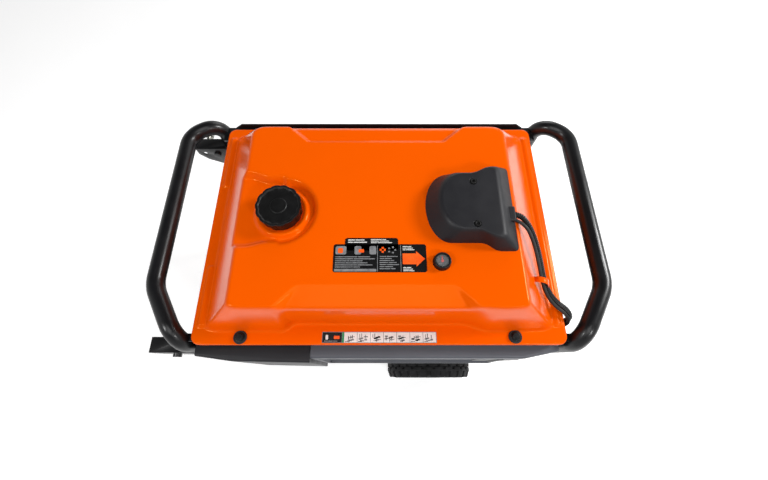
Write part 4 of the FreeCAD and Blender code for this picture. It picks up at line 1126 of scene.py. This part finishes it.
# ---- wheels ----
class GENERATOR_OT_wheels(bpy.types.Operator):
    """Tyres with two staggered rows of tread blocks, on moulded hubs"""

    bl_idname = "generator.wheels"
    bl_label = "Wheels"

    def execute(self, context):
        sizes = context.scene.generator_sizes
        for end in ("front", "rear"):
            low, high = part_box("tyre_" + end)
            centre = (low + high) / 2
            radius, half = (high.x - low.x) / 2, (high.y - low.y) / 2
            parts = [self.carcass(centre, radius - sizes.tread_depth, half)]
            parts += self.tread(centre, radius, half, sizes.tread_blocks, sizes.tread_depth)
            name = "tyre_" + end
            hand_over(joined(parts), name + "_treaded", end + "_wheel", "tyre", [name])
            dress("rim_" + end, "rim", 1.5, 3)
            side = -1 if end == "front" else 1
            cap = cylinder((centre.x, side * 254.2 * MM, centre.z), (0, side, 0), 10 * MM, 3.4 * MM, 40)
            ease(cap, 1.2 * MM, 3)
            hand_over(cap, "axle_cap_" + end, "frame", "zinc")
        return {"FINISHED"}

    def carcass(self, centre, radius, half):
        """The tyre's body: a rounded section spun round the axle."""
        bead = 73.5 * MM
        outward = (
            (bead, 6), (bead + 5 * MM, 1.5), (bead + 12 * MM, 0), (bead + 13.5 * MM, 1.2),
            (bead + 15 * MM, 0),
            (radius - 9 * MM, 2), (radius - 3 * MM, 6), (radius - 0.5 * MM, 12),
        )
        section = [(r, -half + inset * MM) for r, inset in outward]
        section += [(r, -y) for r, y in reversed(section)]
        return spun("carcass", section, centre, Y, 112, closed=False)

    def tread(self, centre, radius, half, count, depth):
        """Centre blocks and shoulder blocks, each row half a pitch from the next."""
        pitch = 2 * math.pi / count
        width = 2 * math.pi * radius / count
        blocks = []
        rows = (
            (-half + 11 * MM, 19 * MM, 0.0, 0.66), (-5.0 * MM, 10 * MM, 0.5, 0.72),
            (6.0 * MM, 10 * MM, 0.0, 0.72), (half - 11 * MM, 19 * MM, 0.5, 0.66),
        )
        for y, breadth, shift, share in rows:
            lug = block((0, 0, 0), (width * share, breadth, depth * 1.9))
            ease(lug, 1.0 * MM, 2)
            for v in lug.data.vertices:
                out = abs(y + v.co.y) - (half - 12 * MM)
                if out > 0:
                    v.co.z -= out * 0.62
                v.co.z -= v.co.x ** 2 / (2 * radius)
                v.co.x += (abs(v.co.y) - breadth / 4) * (0.35 if y < 0 else -0.35)
            for i in range(count):
                copy = lug.copy()
                copy.data = lug.data.copy()
                bpy.context.scene.collection.objects.link(copy)
                a = pitch * (i + shift)
                lift = Matrix.Translation((0, y, radius - depth * 0.95))
                copy.data.transform(Matrix.Translation(centre) @ Matrix.Rotation(a, 4, "Y") @ lift)
                blocks.append(copy)
            bpy.data.objects.remove(lug)
        return blocks


# ---- control panel ----
class GENERATOR_OT_panel(bpy.types.Operator):
    """Control panel, side cover, outlets, flaps, breakers and the engine switch"""

    bl_idname = "generator.panel"
    bl_label = "Control panel"

    def execute(self, context):
        dress("control_panel", "panel", 1.0, 3)
        dress("side_cover", "cover", 2.0, 3)
        dress("panel_back_box", "sheet", 1.0)
        dress("duplex_outlets", "nylon", 0.4)
        dress("twist_lock_outlet", "nylon", 0.4)
        for node in ("duplex_lid_left", "duplex_lid_right", "twist_lock_lid"):
            dress(node, "cover", 1.0, 3)
        for node in ("breaker_button_left", "breaker_button_right"):
            dress(node, "nylon", 0.4)
        dress("power_dial", "nylon", 1.2, 3)
        self.face_plate()
        rows = []
        for x in (-97, 88, 272):
            for z in (346, 518):
                rows.append(((x, -204.2, z), (0, -1, 0), 6.5, 3.0, 5.5))
        screws("panel_screws", "frame", "oxide", rows)
        return {"FINISHED"}

    def face_plate(self):
        """Switch positions and breaker collars: plain ticks and rings, with no lettering."""
        marks = []
        dial = Vector((222, -204.6, 432))
        for turn, colour in ((0, "film_orange"), (60, "film_white"), (120, "film_green")):
            a = math.radians(turn)
            mark = block((0, 0, 0), (4 * MM, 0.8 * MM, 9 * MM))
            place = (dial + Vector((math.sin(a), 0, math.cos(a))) * 56) * MM
            mark.data.transform(Matrix.Translation(place) @ Matrix.Rotation(a, 4, "Y"))
            mark.data.materials.append(MATS[colour])
            marks.append(mark)
        for x in (-26, 54):
            bpy.ops.mesh.primitive_torus_add(
                major_segments=40, minor_segments=8, major_radius=8.2 * MM, minor_radius=1.6 * MM,
                location=(x * MM, -204.6 * MM, 362 * MM), rotation=(math.radians(90), 0, 0),
            )
            ring = bpy.context.object
            settle(ring)
            ring.data.materials.append(MATS["zinc"])
            marks.append(ring)
        hand_over(joined(marks), "panel_marks", "frame", None)


# ---- engine ----
class GENERATOR_OT_engine(bpy.types.Operator):
    """Engine, alternator, silencer and their fixings"""

    bl_idname = "generator.engine"
    bl_label = "Engine"

    def execute(self, context):
        table = (
            ("crankcase", "cast", 2.0, 3), ("cylinder", "cast", 0.6, 2), ("valve_cover", "cast", 1.0, 2),
            ("piston", "turned", 0.5, 2), ("crankshaft", "turned", 0.8, 2), ("flywheel", "iron", 0.8, 2),
            ("rotor", "core", 0.8, 2), ("stator", "cast", 0.8, 2), ("alternator_cover", "cast", 1.0, 2),
            ("fan_shroud", "sheet", 0.9, 2), ("recoil_cover", "sheet", 1.0, 3),
            ("recoil_grip", "rubber", 1.0, 2), ("air_cleaner", "nylon", 1.4, 3), ("muffler", "hot", 0.8, 2),
            ("muffler_guard", "sheet", 0.5, 2), ("starter_motor", "starter", 1.0, 2),
            ("oil_cap", "yellow", 0.8, 2), ("battery", "nylon", 1.4, 3),
        )
        for node, material, edge, segments in table:
            dress(node, material, edge, segments)
        rows = []
        for i in range(8):
            a = math.radians(22.5 + 45 * i)
            rows.append(((262, -15 + 106 * math.cos(a), 306 + 106 * math.sin(a)), (1, 0, 0), 8, 4.5, 7.5))
        for i in range(4):
            a = math.radians(45 + 90 * i)
            rows.append(((-184, -15 + 96 * math.cos(a), 306 + 96 * math.sin(a)), (-1, 0, 0), 10, 6, 8.5))
        for x in (78, 108, 154, 184):
            for z in (238, 360):
                rows.append(((x, -108, z), (0, -1, 0), 8, 4.5, 7.0))
        for x, z in ((120, 197), (180, 197), (-106, 196), (-74, 196)):
            for y in (-90, 90):
                rows.append(((x, y, z), (0, 0, 1), 11, 6, 10))
        screws("engine_screws", "frame", "zinc", rows)
        self.pull_rope()
        return {"FINISHED"}

    def pull_rope(self):
        """The starter's cord: a short straight length along Y, hung on no body, so it stays put when the grip
        is pulled.
        """
        path = [Vector((278, y, 286)) * MM for y in np.linspace(-100, -120, 41)]
        rope = tube("pull_rope", path, [2.2 * MM] * len(path), 12)
        rope.data.materials.append(MATS["rope"])
        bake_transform(rope)


# ---- stage ----
# Name, place and size in metres, and power in watts.
LAMPS = (
    ("softbox_key", (-1.5, -0.9, 2.35), 0.35, 16), ("softbox_right", (2.2, 0.5, 2.0), 0.55, 46),
    ("softbox_corner", (1.3, -1.5, 2.2), 0.35, 14), ("softbox_back", (0.6, 2.4, 1.5), 1.5, 14),
    ("softbox_top", (0, -1.0, 3.2), 1.6, 22),
)
LAMP_TARGET = (0, 0, 0.4)
CAMERA_PLACE, CAMERA_DOWN, CAMERA_SHIFT = (0, -0.252, 1.138), 68.64, 0.0065104


class GENERATOR_OT_stage(bpy.types.Operator):
    """Pale floor, soft lights and the camera"""

    bl_idname = "generator.stage"
    bl_label = "Stage"

    def execute(self, context):
        scene = context.scene
        bpy.ops.mesh.primitive_plane_add(size=60, location=(0, 0, 0))
        floor = context.object
        floor.name = "floor"
        paint = finish("painted_studio_floor", "#F1F1F1", "#F7F7F7", 900, (0.7, 0.8), 3, 0.01)
        # The floor is lit evenly from below, like a translucent light table.
        glow = paint.node_tree.nodes["Principled BSDF"]
        glow.inputs["Emission Color"].default_value = linear("#FFFFFF")
        glow.inputs["Emission Strength"].default_value = 0.42
        floor.data.materials.append(paint)
        world = bpy.data.worlds.new("studio")
        scene.world = world
        world.use_nodes = True
        background = world.node_tree.nodes["Background"]
        # Bright towards the horizon and darker overhead, as in a room with white walls and side softboxes.
        tree = world.node_tree
        direction = add_node(tree, "ShaderNodeTexCoord").outputs["Generated"]
        height = add_node(tree, "ShaderNodeSeparateXYZ", {"Vector": direction}).outputs["Z"]
        spread = add_node(
            tree, "ShaderNodeMapRange", {"Value": height}, interpolation_type="SMOOTHSTEP",
            From_Min=0.25, From_Max=0.75, To_Min=0.6, To_Max=0.06,
        )
        tree.links.new(spread.outputs[0], background.inputs["Strength"])
        background.inputs["Color"].default_value = linear("#FFFFFF")
        for lamp in LAMPS:
            self.lamp(*lamp)
        camera = placed("camera", bpy.data.cameras.new("camera"))
        camera.location = CAMERA_PLACE
        camera.rotation_euler = (math.radians(90 - CAMERA_DOWN), 0, 0)
        camera.data.lens = scene.generator_sizes.camera_lens
        camera.data.sensor_width = 36
        camera.data.shift_x = CAMERA_SHIFT
        camera.data.clip_start = 0.01
        scene.camera = camera
        scene.view_settings.view_transform = "Standard"
        return {"FINISHED"}

    def lamp(self, name, place, size, power):
        light = bpy.data.lights.new(name, "AREA")
        light.size = size
        light.energy = power
        obj = placed(name, light)
        obj.location = place
        obj.rotation_euler = (Vector(LAMP_TARGET) - Vector(place)).to_track_quat("-Z", "Y").to_euler()


class GENERATOR_PT_panel(bpy.types.Panel):
    bl_label = "Generator"
    bl_idname = "GENERATOR_PT_panel"
    bl_space_type = "VIEW_3D"
    bl_region_type = "UI"
    bl_category = "Generator"

    def draw(self, context):
        for group in (context.scene.generator_sizes, context.scene.generator_colours):
            for key in group.__annotations__:
                self.layout.prop(group, key)
        for operator in PIECES:
            self.layout.operator(operator.bl_idname)


PIECES = (
    GENERATOR_OT_frame,
    GENERATOR_OT_tank,
    GENERATOR_OT_tank_fixings,
    GENERATOR_OT_cap,
    GENERATOR_OT_gauge,
    GENERATOR_OT_pump_cover,
    GENERATOR_OT_labels,
    GENERATOR_OT_leads,
    GENERATOR_OT_handle,
    GENERATOR_OT_wheels,
    GENERATOR_OT_panel,
    GENERATOR_OT_engine,
    GENERATOR_OT_stage,
)
CLASSES = (GeneratorSizes, GeneratorColours, *PIECES, GENERATOR_PT_panel)


def register():
    for each in CLASSES:
        bpy.utils.register_class(each)
    bpy.types.Scene.generator_sizes = bpy.props.PointerProperty(type=GeneratorSizes)
    bpy.types.Scene.generator_colours = bpy.props.PointerProperty(type=GeneratorColours)


def unregister():
    del bpy.types.Scene.generator_sizes
    del bpy.types.Scene.generator_colours
    for each in reversed(CLASSES):
        bpy.utils.unregister_class(each)


def main():
    register()
    deselect()
    make_materials(bpy.context.scene.generator_colours)
    for piece in PIECES:
        group, action = piece.bl_idname.split(".")
        getattr(getattr(bpy.ops, group), action)()


if __name__ == "__main__":
    main()
